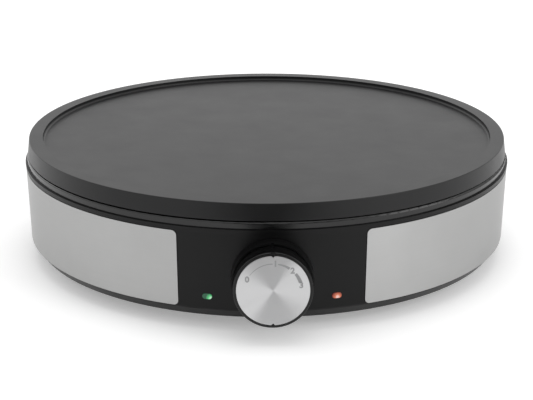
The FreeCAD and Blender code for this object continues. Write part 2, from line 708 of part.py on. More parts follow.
def griddle_plate():
    """Cast griddle: rim, sunk cooking surface, flared skirt, element ridge and fixing studs."""
    body = new_body("griddle_plate")
    inner = SKIRT_RADIUS - size.skirt_wall
    profile = new_sketch(body, "profile", "XZ_Plane")
    draw_outline(
        profile,
        [
            (0, COOKING),
            (size.recess_radius, COOKING),
            (size.recess_radius, PLATE_TOP),
            (size.rim_radius, PLATE_TOP),
            (SKIRT_RADIUS, PLATE_LOW),
            (inner, PLATE_LOW),
            (inner, PLATE_UNDER),
            (0, PLATE_UNDER),
        ],
    )
    revolve(body, profile)
    round_edges(body, size.skirt_round, ring_at(SKIRT_RADIUS, PLATE_LOW))
    round_edges(body, size.recess_round, ring_at(size.recess_radius, COOKING))
    round_edges(body, size.rim_round, ring_at(size.rim_radius, PLATE_TOP))
    add_element_ridge(body)
    studs = new_sketch(body, "studs", "XY_Plane", SHIELD_TOP)
    for x, y in FEET:
        draw_circle(studs, x, y, size.stud_radius)
    pad(body, studs, PLATE_UNDER - SHIELD_TOP + size.fit_gap)
    taps = new_sketch(body, "taps", "XY_Plane", SHIELD_TOP)
    for x, y in FEET:
        draw_circle(taps, x, y, size.plate_screw_radius + size.fit_gap)
    pocket(body, taps, size.plate_screw_length - size.post_web + size.fit_gap, forwards=True)
    add_clip_taps(body)


def add_element_ridge(body):
    """The ridge under the griddle, open at the front, with a groove for the element's tube."""
    half = size.ridge_width / 2
    inner = size.element_circle - half
    outer = size.element_circle + half
    ridge = new_sketch(body, "ridge", "XY_Plane", ELEMENT_Z)
    draw_circle(ridge, 0, 0, inner)
    draw_circle(ridge, 0, 0, outer)
    pad(body, ridge, size.element_drop + size.fit_gap)
    seat = new_sketch(body, "element_seat", "XZ_Plane")
    draw_circle(seat, size.element_circle, ELEMENT_Z, size.element_radius + size.fit_gap)
    groove(body, seat)
    opening = new_sketch(body, "ridge_opening", "XY_Plane", ELEMENT_Z)
    side = ELEMENT_TURN_X + size.fit_gap
    draw_box(opening, -side, side, -outer - size.fit_gap, -inner + half)
    pocket(body, opening, size.element_drop, forwards=True)


def add_clip_taps(body):
    """Blind holes for the saddle clips, and the earth boss with its hole."""
    taps = new_sketch(body, "clip_taps", "XY_Plane", PLATE_UNDER)
    for middle in (size.bulb_at, -size.fuse_at):
        for side in (1, -1):
            draw_circle(
                taps, 0, middle + side * size.saddle_span, size.small_screw_radius + size.fit_gap
            )
    pocket(body, taps, size.saddle_screw_depth + size.fit_gap, forwards=True)
    boss = new_sketch(body, "earth_boss", "XY_Plane", PLATE_UNDER)
    draw_circle(boss, size.earth_x, size.earth_y, size.earth_boss)
    pad(body, boss, size.earth_boss_height, backwards=True)
    hole = new_sketch(body, "earth_tap", "XY_Plane", PLATE_UNDER - size.earth_boss_height)
    draw_circle(hole, size.earth_x, size.earth_y, size.small_screw_radius + size.fit_gap)
    pocket(body, hole, size.earth_boss_height, forwards=True)


# Where the element's bends meet its ring, and where its legs end their straight run
ELEMENT_BEND_X = size.element_leg + size.element_bend
ELEMENT_BEND_Y = square_root(
    (size.element_circle - size.element_bend) * (size.element_circle - size.element_bend)
    - ELEMENT_BEND_X * ELEMENT_BEND_X
)
ELEMENT_TURN_X = (
    size.element_circle * ELEMENT_BEND_X / (size.element_circle - size.element_bend)
)


def heating_element():
    """Sheathed tube bent to a ring with two legs that turn in at the front."""
    body = new_body("heating_element")
    path = new_sketch(body, "path", "XY_Plane", ELEMENT_Z)
    leg, inset = size.element_leg.value, size.element_inset.value
    bend_x, bend_y = ELEMENT_BEND_X.value, ELEMENT_BEND_Y.value
    bend, ring = size.element_bend.value, size.element_circle.value
    up = Vector(0, 0, 1)
    turn = math.atan2(-bend_y, bend_x)
    right = Part.Circle(Vector(bend_x, -bend_y, 0), up, bend)
    left = Part.Circle(Vector(-bend_x, -bend_y, 0), up, bend)
    whole = Part.Circle(Vector(0, 0, 0), up, ring)
    path.addGeometry(Part.LineSegment(Vector(leg, -inset, 0), Vector(leg, -bend_y, 0)), False)
    path.addGeometry(Part.ArcOfCircle(right, math.pi, turn + 2 * math.pi), False)
    path.addGeometry(Part.ArcOfCircle(whole, turn, math.pi - turn), False)
    path.addGeometry(Part.ArcOfCircle(left, math.pi - turn, 2 * math.pi), False)
    path.addGeometry(Part.LineSegment(Vector(-leg, -bend_y, 0), Vector(-leg, -inset, 0)), False)
    for first in range(4):
        path.addConstraint(Sketcher.Constraint("Tangent", first, 2, first + 1, 1))
    path.addConstraint(Sketcher.Constraint("Coincident", 2, 3, -1, 1))
    fix_radius(path, 1, size.element_bend)
    fix_radius(path, 2, size.element_circle)
    fix_radius(path, 3, size.element_bend)
    fix_distance(path, "DistanceX", 0, 1, size.element_leg)
    fix_distance(path, "DistanceY", 0, 1, -size.element_inset)
    fix_distance(path, "DistanceX", 4, 2, -size.element_leg)
    fix_distance(path, "DistanceY", 4, 2, -size.element_inset)
    for line in (0, 4):
        path.addConstraint(Sketcher.Constraint("Vertical", line))
    section = new_sketch(body, "section", "XZ_Plane", size.element_inset)
    draw_circle(section, size.element_leg, ELEMENT_Z, size.element_radius)
    pipe = body.newObject("PartDesign::AdditivePipe", "heating_element_tube")
    pipe.Profile = section
    pipe.Spine = path


def element_pins():
    """The two cold pins at the ends of the element's legs."""
    parts = []
    for side, name in ((-1, "left"), (1, "right")):
        parts.append(
            cylinder(
                f"element_pin_{name}",
                side * size.element_leg,
                -size.element_inset + size.pin_length,
                ELEMENT_Z,
                size.pin_radius,
                size.pin_length,
                "front",
            )
        )
    joined("element_pins", parts)


def heat_shield():
    """Pressed sheet with a turned edge, held between the posts and the griddle's studs."""
    body = new_body("heat_shield")
    profile = new_sketch(body, "profile", "XZ_Plane")
    outer = size.shield_radius
    draw_outline(
        profile,
        [
            (0, POST_TOP),
            (outer, POST_TOP),
            (outer, SHIELD_TOP + size.shield_lip),
            (outer - size.shield_thickness, SHIELD_TOP + size.shield_lip),
            (outer - size.shield_thickness, SHIELD_TOP),
            (0, SHIELD_TOP),
        ],
    )
    revolve(body, profile)
    holes = new_sketch(body, "holes", "XY_Plane", SHIELD_TOP)
    draw_circle(holes, 0, -size.front_hole_at, size.wire_hole)
    draw_circle(holes, 0, size.rear_hole_at, size.wire_hole)
    for x, y in FEET:
        draw_circle(holes, x, y, size.plate_screw_radius + size.fit_gap)
    pocket(body, holes, size.shield_thickness)


def collar_ring():
    """Beaded ring between the housing and the griddle, with a spigot down into the housing."""
    body = new_body("collar_ring")
    spigot = size.panel_top_radius - size.shell_wall - 2 * size.fit_gap
    low = SHELL_TOP - size.spigot_depth
    profile = new_sketch(body, "profile", "XZ_Plane")
    draw_outline(
        profile,
        [
            (size.collar_inner, COLLAR_TOP),
            (size.collar_radius, COLLAR_TOP),
            (size.collar_radius, SHELL_TOP),
            (spigot, SHELL_TOP),
            (spigot, low),
            (spigot - size.spigot_wall, low),
            (spigot - size.spigot_wall, SHELL_TOP),
            (size.collar_inner, SHELL_TOP),
        ],
    )
    revolve(body, profile)
    round_edges(body, size.collar_round, ring_at(size.collar_radius, COLLAR_TOP))


PANEL_SWEEP = 180 - 2 * size.panel_front
RECESS_SWEEP = PANEL_SWEEP + 2 / DEGREE * size.panel_edge_gap / size.panel_top_radius


def housing_shell():
    """Moulded drum: tapered wall, trim recesses, dial boss, lamp windows, gland seat, ledge and ribs."""
    body = new_body("housing_shell")
    wall = size.shell_wall
    pan_seat = size.pan_radius + size.fit_gap
    profile = new_sketch(body, "profile", "XZ_Plane")
    draw_outline(
        profile,
        [
            (size.under_radius, PAN_LOW),
            (size.panel_low_radius, PANEL_LOW, size.under_round),
            (size.panel_top_radius, PANEL_TOP),
            (size.shell_radius, SHELL_TOP),
            (size.shell_radius - wall, SHELL_TOP),
            (size.panel_top_radius - wall, PANEL_TOP),
            (size.panel_low_radius - wall, LEDGE_TOP),
            (size.ledge_radius, LEDGE_TOP),
            (size.ledge_radius, PAN_TOP),
            (pan_seat, PAN_TOP),
            (pan_seat, PAN_LOW),
        ],
    )
    revolve(body, profile)
    for name, turn in (("right_recess", 0.0), ("left_recess", 180.0)):
        cut_panel_recess(body, name, turn)
    add_shell_ribs(body)
    add_base_bosses(body)
    add_dial_boss(body)
    cut_lamp_windows(body)
    add_gland_seat(body)


def cut_panel_recess(body, name, turn):
    """A shallow recess with round corners for one trim panel, cut with a curved block."""
    depth = size.panel_thickness + size.panel_backing
    low = PANEL_LOW - size.panel_edge_gap
    top = PANEL_TOP + size.panel_edge_gap
    outside = size.shell_radius + size.shell_wall
    cutter = doc.addObject("PartDesign::Body", f"{name}_cutter")
    block = new_sketch(cutter, "block", "XZ_Plane", 0.0, turn)
    draw_outline(
        block,
        [
            (size.panel_low_radius - depth, low),
            (outside, low),
            (outside, top),
            (size.panel_top_radius - depth, top),
        ],
    )
    revolve(cutter, block, RECESS_SWEEP)
    round_edges(cutter, size.panel_corner + size.panel_edge_gap, corner_line(2 * size.shell_wall))
    cut = body.newObject("PartDesign::Boolean", f"{body.Label}_{name}")
    cut.Type = "Cut"
    cut.setObjects([cutter])
    doc.recompute()


def add_shell_ribs(body):
    """Upright ribs inside the wall, five to a side."""
    outer = size.panel_low_radius - size.shell_wall / 2
    top = SHELL_TOP - size.spigot_depth - size.rib_clearance
    for name, middle in (("right_rib", 0), ("left_rib", 180)):
        rib = new_sketch(body, name, "XZ_Plane", 0.0, middle + size.rib_sweep / 2)
        draw_box(rib, outer - size.shell_rib, outer, LEDGE_TOP - size.fit_gap, top)
        feature = body.newObject("PartDesign::Pad", f"{body.Label}_{name}_pad")
        feature.Profile = rib
        feature.Midplane = True
        bind(feature, "Length", size.rib_thickness)
        doc.recompute()
        polar(body, feature, SHELL_RIBS, size.rib_sweep)
        doc.recompute()


def add_base_bosses(body):
    """Bosses beside the ledge, with pilot holes for the base screws."""
    bosses = new_sketch(body, "base_bosses", "XY_Plane", PAN_TOP)
    for x, y in BASE_SCREWS:
        draw_circle(bosses, x, y, size.base_boss_radius)
    pad(body, bosses, size.base_boss_height)
    pilots = new_sketch(body, "base_pilots", "XY_Plane", PAN_TOP)
    for x, y in BASE_SCREWS:
        draw_circle(pilots, x, y, size.base_screw_radius + size.fit_gap)
    pocket(body, pilots, size.base_screw_length, forwards=True)


def add_dial_boss(body):
    """The cup-shaped boss behind the dial: a lip round a sunk floor, with the thermostat behind it."""
    boss = new_sketch(body, "dial_boss", "XZ_Plane", size.bezel_back)
    draw_circle(boss, 0, size.dial_height, size.bezel_radius)
    pad(body, boss, size.bezel_front - size.bezel_back)
    inside = new_sketch(body, "dial_boss_inside", "XZ_Plane", size.bezel_back)
    draw_circle(inside, 0, size.dial_height, size.bezel_radius - size.shell_wall)
    pocket(body, inside, CASE_FRONT - size.bezel_back, forwards=True)
    floor = new_sketch(body, "bezel_floor", "XZ_Plane", size.bezel_front)
    draw_circle(floor, 0, size.dial_height, size.bezel_radius - size.bezel_lip)
    pocket(body, floor, size.bezel_depth)
    notch = new_sketch(body, "bezel_notch", "XZ_Plane", size.bezel_front)
    half = size.bezel_notch / 2
    lip_top = size.dial_height + size.bezel_radius
    draw_box(notch, -half, half, lip_top - 2 * size.bezel_lip, lip_top + size.bezel_lip)
    pocket(body, notch, size.bezel_depth)
    holes = new_sketch(body, "thermostat_holes", "XZ_Plane", BEZEL_FLOOR)
    draw_circle(holes, 0, size.dial_height, size.neck_radius + size.fit_gap)
    for side in (1, -1):
        draw_circle(
            holes, side * size.case_screw_at, size.dial_height, size.case_screw_radius + size.fit_gap
        )
    pocket(body, holes, size.shell_wall)


def cut_lamp_windows(body):
    """A window with round ends in the wall for each lamp."""
    for name, side in (("red_window", 1), ("green_window", -1)):
        window = new_sketch(body, name, "XZ_Plane", size.shell_radius, side * size.lamp_azimuth)
        length = size.lens_length + 2 * size.fit_gap
        height = size.lens_height + 2 * size.fit_gap
        draw_lozenge(window, size.lamp_height, length, height)
        pocket(body, window, 4 * size.shell_wall)


def add_gland_seat(body):
    """A flat seat on the back wall, hollow behind, with the gland's hole."""
    seat = new_sketch(body, "gland_seat", "XZ_Plane", size.gland_seat_back, 180.0)
    draw_circle(seat, 0, size.gland_height, size.gland_seat_radius)
    pad(body, seat, size.gland_seat - size.gland_seat_back)
    inside = new_sketch(body, "gland_seat_inside", "XZ_Plane", size.gland_seat_back, 180.0)
    draw_circle(inside, 0, size.gland_height, size.gland_seat_radius - size.shell_wall)
    pocket(body, inside, GLAND_WALL - size.gland_seat_back, forwards=True)
    hole = new_sketch(body, "gland_hole", "XZ_Plane", size.gland_seat, 180.0)
    draw_circle(hole, 0, size.gland_height, size.gland_radius + size.fit_gap)
    pocket(body, hole, 2 * size.shell_wall)


def trim_panels():
    """The two brushed steel panels, curved with the wall and flush with it."""
    for label, turn in (("left_trim_panel", 180.0), ("right_trim_panel", 0.0)):
        body = new_body(label)
        sheet = size.panel_thickness
        profile = new_sketch(body, "profile", "XZ_Plane", 0.0, turn)
        draw_outline(
            profile,
            [
                (size.panel_low_radius - sheet, PANEL_LOW),
                (size.panel_low_radius, PANEL_LOW),
                (size.panel_top_radius, PANEL_TOP),
                (size.panel_top_radius - sheet, PANEL_TOP),
            ],
        )
        revolve(body, profile, PANEL_SWEEP)
        round_edges(body, size.panel_corner, corner_line(2 * sheet))


def base_pan():
    """Moulded floor with screw posts, ribs, vent slots and the cord clamp's posts."""
    body = new_body("base_pan")
    floor = new_sketch(body, "floor", "XY_Plane", PAN_LOW)
    draw_circle(floor, 0, 0, size.pan_radius)
    pad(body, floor, size.pan_thickness)
    add_griddle_posts(body)
    add_pan_ribs(body)
    cut_vents(body)
    cut_base_screw_holes(body)
    add_clamp_posts(body)


def add_griddle_posts(body):
    """Four hollow posts: the screws sit inside them and draw the griddle down."""
    posts = new_sketch(body, "posts", "XY_Plane", PAN_LOW)
    wells = new_sketch(body, "wells", "XY_Plane", PAN_LOW)
    holes = new_sketch(body, "post_holes", "XY_Plane", POST_TOP)
    for x, y in FEET:
        draw_circle(posts, x, y, size.post_radius)
        draw_circle(wells, x, y, size.post_bore)
        draw_circle(holes, x, y, size.plate_screw_radius + size.fit_gap)
    pad(body, posts, POST_TOP - PAN_LOW)
    pocket(body, wells, SCREW_SEAT - PAN_LOW, forwards=True)
    pocket(body, holes, size.post_web)


def add_pan_ribs(body):
    """Radial ribs on the floor."""
    rib = new_sketch(body, "rib", "XZ_Plane", 0.0, 180 / PAN_RIBS)
    top = PAN_TOP + size.pan_rib_height
    draw_box(rib, size.pan_rib_inner, size.pan_rib_outer, PAN_TOP - size.fit_gap, top)
    feature = body.newObject("PartDesign::Pad", "base_pan_rib_pad")
    feature.Profile = rib
    feature.Midplane = True
    bind(feature, "Length", size.rib_thickness)
    doc.recompute()
    polar(body, feature, PAN_RIBS)
    doc.recompute()


def cut_vents(body):
    """A ring of radial vent slots."""
    slot = new_sketch(body, "vent", "XY_Plane", PAN_TOP)
    half = size.vent_width / 2
    draw_box(slot, size.vent_inner, size.vent_outer, -half, half)
    feature = pocket(body, slot, size.pan_thickness)
    polar(body, feature, VENTS)
    doc.recompute()


def cut_base_screw_holes(body):
    """Counterbored holes for the base screws."""
    wells = new_sketch(body, "screw_wells", "XY_Plane", PAN_LOW)
    holes = new_sketch(body, "screw_holes", "XY_Plane", PAN_TOP)
    for x, y in BASE_SCREWS:
        draw_circle(wells, x, y, size.base_screw_head + 2 * size.fit_gap)
        draw_circle(holes, x, y, size.base_screw_radius + size.fit_gap)
    pocket(body, wells, size.base_screw_head_height, forwards=True)
    pocket(body, holes, size.pan_thickness)


CLAMP_TOP = size.gland_height + size.cord_bore


def add_clamp_posts(body):
    """Two posts for the cord clamp and a saddle between them."""
    posts = new_sketch(body, "clamp_posts", "XY_Plane", PAN_LOW)
    pilots = new_sketch(body, "clamp_pilots", "XY_Plane", CLAMP_TOP)
    for side in (1, -1):
        draw_circle(posts, side * size.clamp_span, size.clamp_at, size.clamp_post)
        draw_circle(
            pilots, side * size.clamp_span, size.clamp_at, size.small_screw_radius + size.fit_gap
        )
    pad(body, posts, CLAMP_TOP - PAN_LOW)
    pocket(body, pilots, size.clamp_screw_length)
    saddle = new_sketch(body, "clamp_saddle", "XY_Plane", PAN_LOW)
    half = size.clamp_width / 4
    side = size.clamp_span - size.clamp_post / 2
    draw_box(saddle, -side, side, size.clamp_at - half, size.clamp_at + half)
    pad(body, saddle, size.gland_height - size.cord_bore - PAN_LOW)


def feet():
    """Rubber pads with a peg that closes the screw well above."""
    names = ("foot_front_left", "foot_front_right", "foot_rear_left", "foot_rear_right")
    for label, (x, y) in zip(names, FEET):
        body = new_body(label)
        place(body, x, y, 0)
        profile = new_sketch(body, "profile", "XZ_Plane")
        peg = size.post_bore - size.fit_gap
        peg_top = PAN_LOW + size.peg_length
        bottom = size.foot_radius - size.foot_taper
        draw_outline(
            profile,
            [
                (0, 0),
                (bottom, 0),
                (size.foot_radius, PAN_LOW),
                (peg, PAN_LOW),
                (peg, peg_top),
                (0, peg_top),
            ],
        )
        revolve(body, profile)
        round_edges(body, size.foot_round, ring_at(bottom, 0))


def fasteners():
    """Every group of equal screws."""
    screws(
        "plate_screws",
        FEET,
        SCREW_SEAT,
        size.plate_screw_head,
        size.plate_screw_head_height,
        size.plate_screw_radius,
        size.plate_screw_length - size.fit_gap,
        "up",
    )
    screws(
        "base_screws",
        BASE_SCREWS,
        PAN_LOW + size.base_screw_head_height,
        size.base_screw_head,
        size.base_screw_head_height,
        size.base_screw_radius,
        size.base_screw_length,
        "up",
    )
    saddle_seats = [
        (0, middle + side * size.saddle_span)
        for middle in (size.bulb_at, -size.fuse_at)
        for side in (1, -1)
    ]
    screws(
        "saddle_screws",
        saddle_seats,
        PLATE_UNDER - size.saddle_thickness - size.fit_gap,
        size.small_screw_head,
        size.small_screw_head_height,
        size.small_screw_radius,
        size.saddle_screw_depth + size.saddle_thickness,
        "up",
    )
    screws(
        "clamp_screws",
        [(-size.clamp_span, size.clamp_at), (size.clamp_span, size.clamp_at)],
        CLAMP_TOP + size.clamp_thickness,
        size.small_screw_head,
        size.small_screw_head_height,
        size.small_screw_radius,
        size.clamp_screw_length,
        "down",
    )
    screws(
        "earth_screw",
        [(size.earth_x, size.earth_y)],
        PLATE_UNDER - size.earth_boss_height - size.tag_thickness - size.fit_gap,
        size.small_screw_head,
        size.small_screw_head_height,
        size.small_screw_radius,
        size.earth_boss_height,
        "up",
    )


def thermostat_body():
    """Thermostat case behind the dial: a moulded block with a neck, two screw holes and two tabs."""
    body = new_body("thermostat_body", size.dial_height)
    half = size.thermostat_side / 2
    case = new_sketch(body, "case", "XZ_Plane", CASE_BACK)
    draw_box(case, -half, half, -half, half)
    pad(body, case, size.thermostat_depth)
    round_edges(
        body,
        size.thermostat_corner,
        lambda edge: near(edge.Length, size.thermostat_depth.value)
        and near(abs(edge.Vertexes[0].X), half.value),
    )
    neck = new_sketch(body, "neck", "XZ_Plane", CASE_FRONT)
    draw_circle(neck, 0, 0, size.neck_radius)
    pad(body, neck, size.shell_wall + size.neck_proud)
    tabs = new_sketch(body, "tabs", "XZ_Plane", CASE_BACK)
    tab_half = size.tab_width / 2
    for side in (1, -1):
        x = side * size.tab_offset
        z = side * size.tab_rise
        draw_box(tabs, x - tab_half, x + tab_half, z - size.clip_thickness, z + size.clip_thickness)
    pad(body, tabs, size.tab_length, backwards=True)
    bore = new_sketch(body, "bore", "XZ_Plane", BEZEL_FLOOR + size.neck_proud)
    draw_circle(bore, 0, 0, size.shaft_radius + size.shaft_fit)
    pocket(body, bore, BEZEL_FLOOR + size.neck_proud - size.shaft_back + size.knob_gap)
    taps = new_sketch(body, "taps", "XZ_Plane", CASE_FRONT)
    for side in (1, -1):
        draw_circle(taps, side * size.case_screw_at, 0, size.case_screw_radius + size.fit_gap)
    pocket(body, taps, size.case_screw_length - size.shell_wall + size.fit_gap)


def thermostat_screws():
    """Two screws through the bezel's floor, hidden by the knob."""
    parts = []
    for side, name in ((1, "right"), (-1, "left")):
        x = side * size.case_screw_at
        start = -(BEZEL_FLOOR - size.case_screw_length)
        parts.append(
            cylinder(
                f"thermostat_screw_{name}_shank",
                x,
                start,
                size.dial_height,
                size.case_screw_radius,
                size.case_screw_length,
                "front",
            )
        )
        parts.append(
            cylinder(
                f"thermostat_screw_{name}_head",
                x,
                -BEZEL_FLOOR,
                size.dial_height,
                size.case_screw_head,
                size.case_screw_head_height,
                "front",
            )
        )
    joined("thermostat_screws", parts)


def thermostat_shaft():
    """Shaft with a flat on the end that the knob pushes on to."""
    body = new_body("thermostat_shaft", size.dial_height)
    round_part = new_sketch(body, "round", "XZ_Plane", size.shaft_back)
    draw_circle(round_part, 0, 0, size.shaft_radius)
    pad(body, round_part, size.shaft_front - size.shaft_back)
    flat = new_sketch(body, "flat", "XZ_Plane", size.shaft_front)
    outside = size.shaft_radius + size.fit_gap
    draw_box(flat, -outside, outside, size.shaft_flat, outside)
    pocket(body, flat, size.shaft_front - HUB_BACK)


def knob_body():
    """Moulded knob: skirt, sunk face for the cap, hub with a D-shaped bore, pointer ridge and lug."""
    body = new_body("knob_body", size.dial_height)
    rim = size.cap_radius + size.cap_edge_gap
    profile = new_sketch(body, "profile", "XY_Plane")
    inner = size.knob_radius - size.knob_wall
    face_back = CAP_BACK - size.knob_face_wall
    draw_outline(
        profile,
        [
            (0, -CAP_BACK),
            (rim, -CAP_BACK),
            (rim, -size.knob_front),
            (size.knob_radius, -size.knob_front),
            (size.knob_radius, -KNOB_BACK),
            (inner, -KNOB_BACK),
            (inner, -face_back),
            (size.hub_radius, -face_back),
            (size.hub_radius, -HUB_BACK),
            (0, -HUB_BACK),
        ],
    )
    revolve(body, profile)
    round_edges(body, size.knob_round, ring_at(size.knob_radius, -size.knob_front, "y"))
    bore = new_sketch(body, "bore", "XZ_Plane", HUB_BACK)
    draw_flatted_circle(
        bore, size.shaft_radius + size.fit_gap / 2, size.shaft_flat + size.clip_thickness + size.fit_gap
    )
    pocket(body, bore, size.shaft_front - HUB_BACK + size.fit_gap, forwards=True)
    ridge_back = size.bezel_front + size.knob_gap
    half = size.pointer_width / 2
    ridge = new_sketch(body, "pointer", "XZ_Plane", ridge_back)
    draw_box(
        ridge, -half, half, size.knob_radius - size.knob_wall / 2, size.knob_radius + size.pointer_height
    )
    pad(body, ridge, size.knob_front - ridge_back - size.knob_round)
    lug = new_sketch(body, "lug", "XZ_Plane", size.knob_front - size.knob_face_wall)
    half = size.lug_width / 2
    draw_box(lug, -half, half, rim, size.knob_radius + size.pointer_height)
    pad(body, lug, LUG_FRONT - size.knob_front + size.knob_face_wall)


def knob_cap():
    """Spun metal disc set in the knob's face, with a notch at the top and bottom."""
    body = new_body("knob_cap", size.dial_height)
    disc = new_sketch(body, "disc", "XZ_Plane", CAP_BACK)
    draw_circle(disc, 0, 0, size.cap_radius)
    pad(body, disc, size.cap_thickness)
    notches = new_sketch(body, "notches", "XZ_Plane", CAP_FRONT)
    for side in (1, -1):
        edge = side * (size.cap_radius + size.cap_notch)
        tip = side * (size.cap_radius - size.cap_notch)
        draw_outline(notches, [(-2 * size.cap_notch, edge), (2 * size.cap_notch, edge), (0, tip)])
    pocket(body, notches, size.cap_thickness)


def knob_spring_clip():
    """Spring strip between the shaft's flat and the knob's bore."""
    body = new_body("knob_spring_clip", size.dial_height)
    low = size.shaft_flat + size.fit_gap / 2
    strip = new_sketch(body, "strip", "XZ_Plane", HUB_BACK + size.fit_gap)
    half = size.clip_width / 2 - size.clip_thickness
    draw_box(strip, -half, half, low, low + size.clip_thickness)
    pad(body, strip, size.clip_length)


def lamps():
    """Two lenses with sockets behind them, and a neon lamp in each."""
    share = (size.lamp_height - PANEL_LOW) / (PANEL_TOP - PANEL_LOW)
    wall = size.panel_low_radius + share * (size.panel_top_radius - size.panel_low_radius)
    seat = wall - size.shell_wall - size.lens_seat_gap
    back = seat - size.lens_flange_thickness
    for colour, side in (("green", -1), ("red", 1)):
        azimuth = side * size.lamp_azimuth
        body = new_body(f"{colour}_lamp_lens", size.lamp_height, azimuth)
        flange = new_sketch(body, "flange", "XZ_Plane", back)
        draw_circle(flange, 0, 0, size.lens_flange)
        pad(body, flange, size.lens_flange_thickness)
        window = new_sketch(body, "window", "XZ_Plane", seat - size.fit_gap)
        draw_lozenge(window, as_size(0), size.lens_length, size.lens_height)
        front = wall + size.lens_proud
        pad(body, window, front - seat + size.fit_gap)
        round_edges(body, size.lens_round, face_outline(front))
        socket = new_sketch(body, "socket", "XZ_Plane", back - size.socket_depth)
        draw_circle(socket, 0, 0, size.lens_socket)
        draw_circle(socket, 0, 0, size.neon_radius + size.fit_gap)
        pad(body, socket, size.socket_depth + size.fit_gap)
        neon = new_body(f"{colour}_neon_lamp", size.lamp_height, azimuth)
        glass = new_sketch(neon, "glass", "XZ_Plane", back - size.neon_length)
        draw_circle(glass, 0, 0, size.neon_radius)
        pad(neon, glass, size.neon_length - size.fit_gap)
        round_edges(
            neon, size.neon_radius / 2, ring_at(size.neon_radius, -(back - size.neon_length), "y")
        )


def cord_inlet():
    """The gland on the back wall and its nut."""
    gland = new_body("cord_gland", size.gland_height, 180.0)
    profile = new_sketch(gland, "profile", "XY_Plane")
    inner_end = size.gland_seat - size.gland_reach
    draw_outline(
        profile,
        [
            (size.cord_bore, -inner_end),
            (size.gland_radius, -inner_end),
            (size.gland_radius, -size.gland_seat),
            (size.gland_flange, -size.gland_seat),
            (size.gland_flange, -GLAND_FACE),
            (size.cord_bore, -GLAND_FACE),
        ],
    )
    revolve(gland, profile)
    round_edges(gland, size.rim_round, ring_at(size.gland_flange, -GLAND_FACE, "y"))
    nut = new_body("gland_nut", size.gland_height, 180.0)
    hexagon = new_sketch(nut, "hexagon", "XZ_Plane", GLAND_WALL - size.nut_height)
    corner = size.nut_flats / 2 / cosine(as_size(180 / NUT_SIDES))
    corners = []
    for index in range(NUT_SIDES):
        angle = as_size(360 / NUT_SIDES * index)
        corners.append((corner * cosine(angle), corner * sine(angle)))
    draw_outline(hexagon, corners)
    draw_circle(hexagon, 0, 0, size.gland_radius + size.fit_gap)
    pad(nut, hexagon, size.nut_height)


def cord_clamp():
    """Bar that holds the cord down on the saddle."""
    body = new_body("cord_clamp")
    half_length = size.clamp_length / 2
    half_width = size.clamp_width / 2
    bar = new_sketch(body, "bar", "XY_Plane", CLAMP_TOP)
    draw_box(bar, -half_length, half_length, size.clamp_at - half_width, size.clamp_at + half_width)
    pad(body, bar, size.clamp_thickness)
    holes = new_sketch(body, "holes", "XY_Plane", CLAMP_TOP + size.clamp_thickness)
    for side in (1, -1):
        draw_circle(
            holes, side * size.clamp_span, size.clamp_at, size.small_screw_radius + size.fit_gap
        )
    pocket(body, holes, size.clamp_thickness)
    round_edges(
        body,
        half_width / 2,
        lambda edge: near(edge.Length, size.clamp_thickness.value)
        and near(abs(edge.Vertexes[0].X), half_length.value),
    )


def terminal_block():
    """Three-way block with wire ports through it and a screw over each."""
    body = new_body("terminal_block")
    half_length = size.block_length / 2
    half_width = size.block_width / 2
    outline = new_sketch(body, "outline", "XY_Plane", PAN_TOP)
    draw_box(outline, -half_length, half_length, size.block_at - half_width, size.block_at + half_width)
    pad(body, outline, size.block_height)
    ports = new_sketch(body, "ports", "XZ_Plane", -(size.block_at - half_width))
    wells = new_sketch(body, "wells", "XY_Plane", PAN_TOP + size.block_height)
    for way in (-1, 0, 1):
        x = way * size.block_pitch
        draw_circle(ports, x, PAN_TOP + size.block_port_height, size.block_port)
        draw_circle(wells, x, size.block_at, size.small_screw_radius + size.fit_gap)
    pocket(body, ports, size.block_width)
    pocket(body, wells, size.block_height - size.block_port_height - size.block_port)
    parts = []
    for way in (-1, 0, 1):
        parts.append(
            cylinder(
                f"terminal_screw_{way + 1}",
                way * size.block_pitch,
                size.block_at,
                PAN_TOP + size.block_port_height + size.block_port,
                size.small_screw_radius,
                size.block_height - size.block_port_height - size.block_port,
            )
        )
    joined("terminal_screws", parts)


def clipped_rods():
    """The thermostat's bulb and the thermal fuse, each held up to the griddle by a saddle clip."""
    rods = (
        ("thermostat_bulb", "bulb_clip", size.bulb_at, size.bulb_radius, size.bulb_length),
        ("thermal_fuse", "fuse_clip", -size.fuse_at, size.fuse_radius, size.fuse_length),
    )
    for rod_name, clip_name, y, radius, length in rods:
        z = PLATE_UNDER - radius - size.fit_gap
        joined(
            rod_name,
            [
                cylinder(f"{rod_name}_rod", -length / 2, y, z, radius, length, "right"),
                cylinder(
                    f"{rod_name}_nose",
                    -length / 2 - size.saddle_thickness,
                    y,
                    z,
                    radius / 2,
                    length + 2 * size.saddle_thickness,
                    "right",
                ),
            ],
        )
        saddle_clip(clip_name, y, z, radius + size.fit_gap)


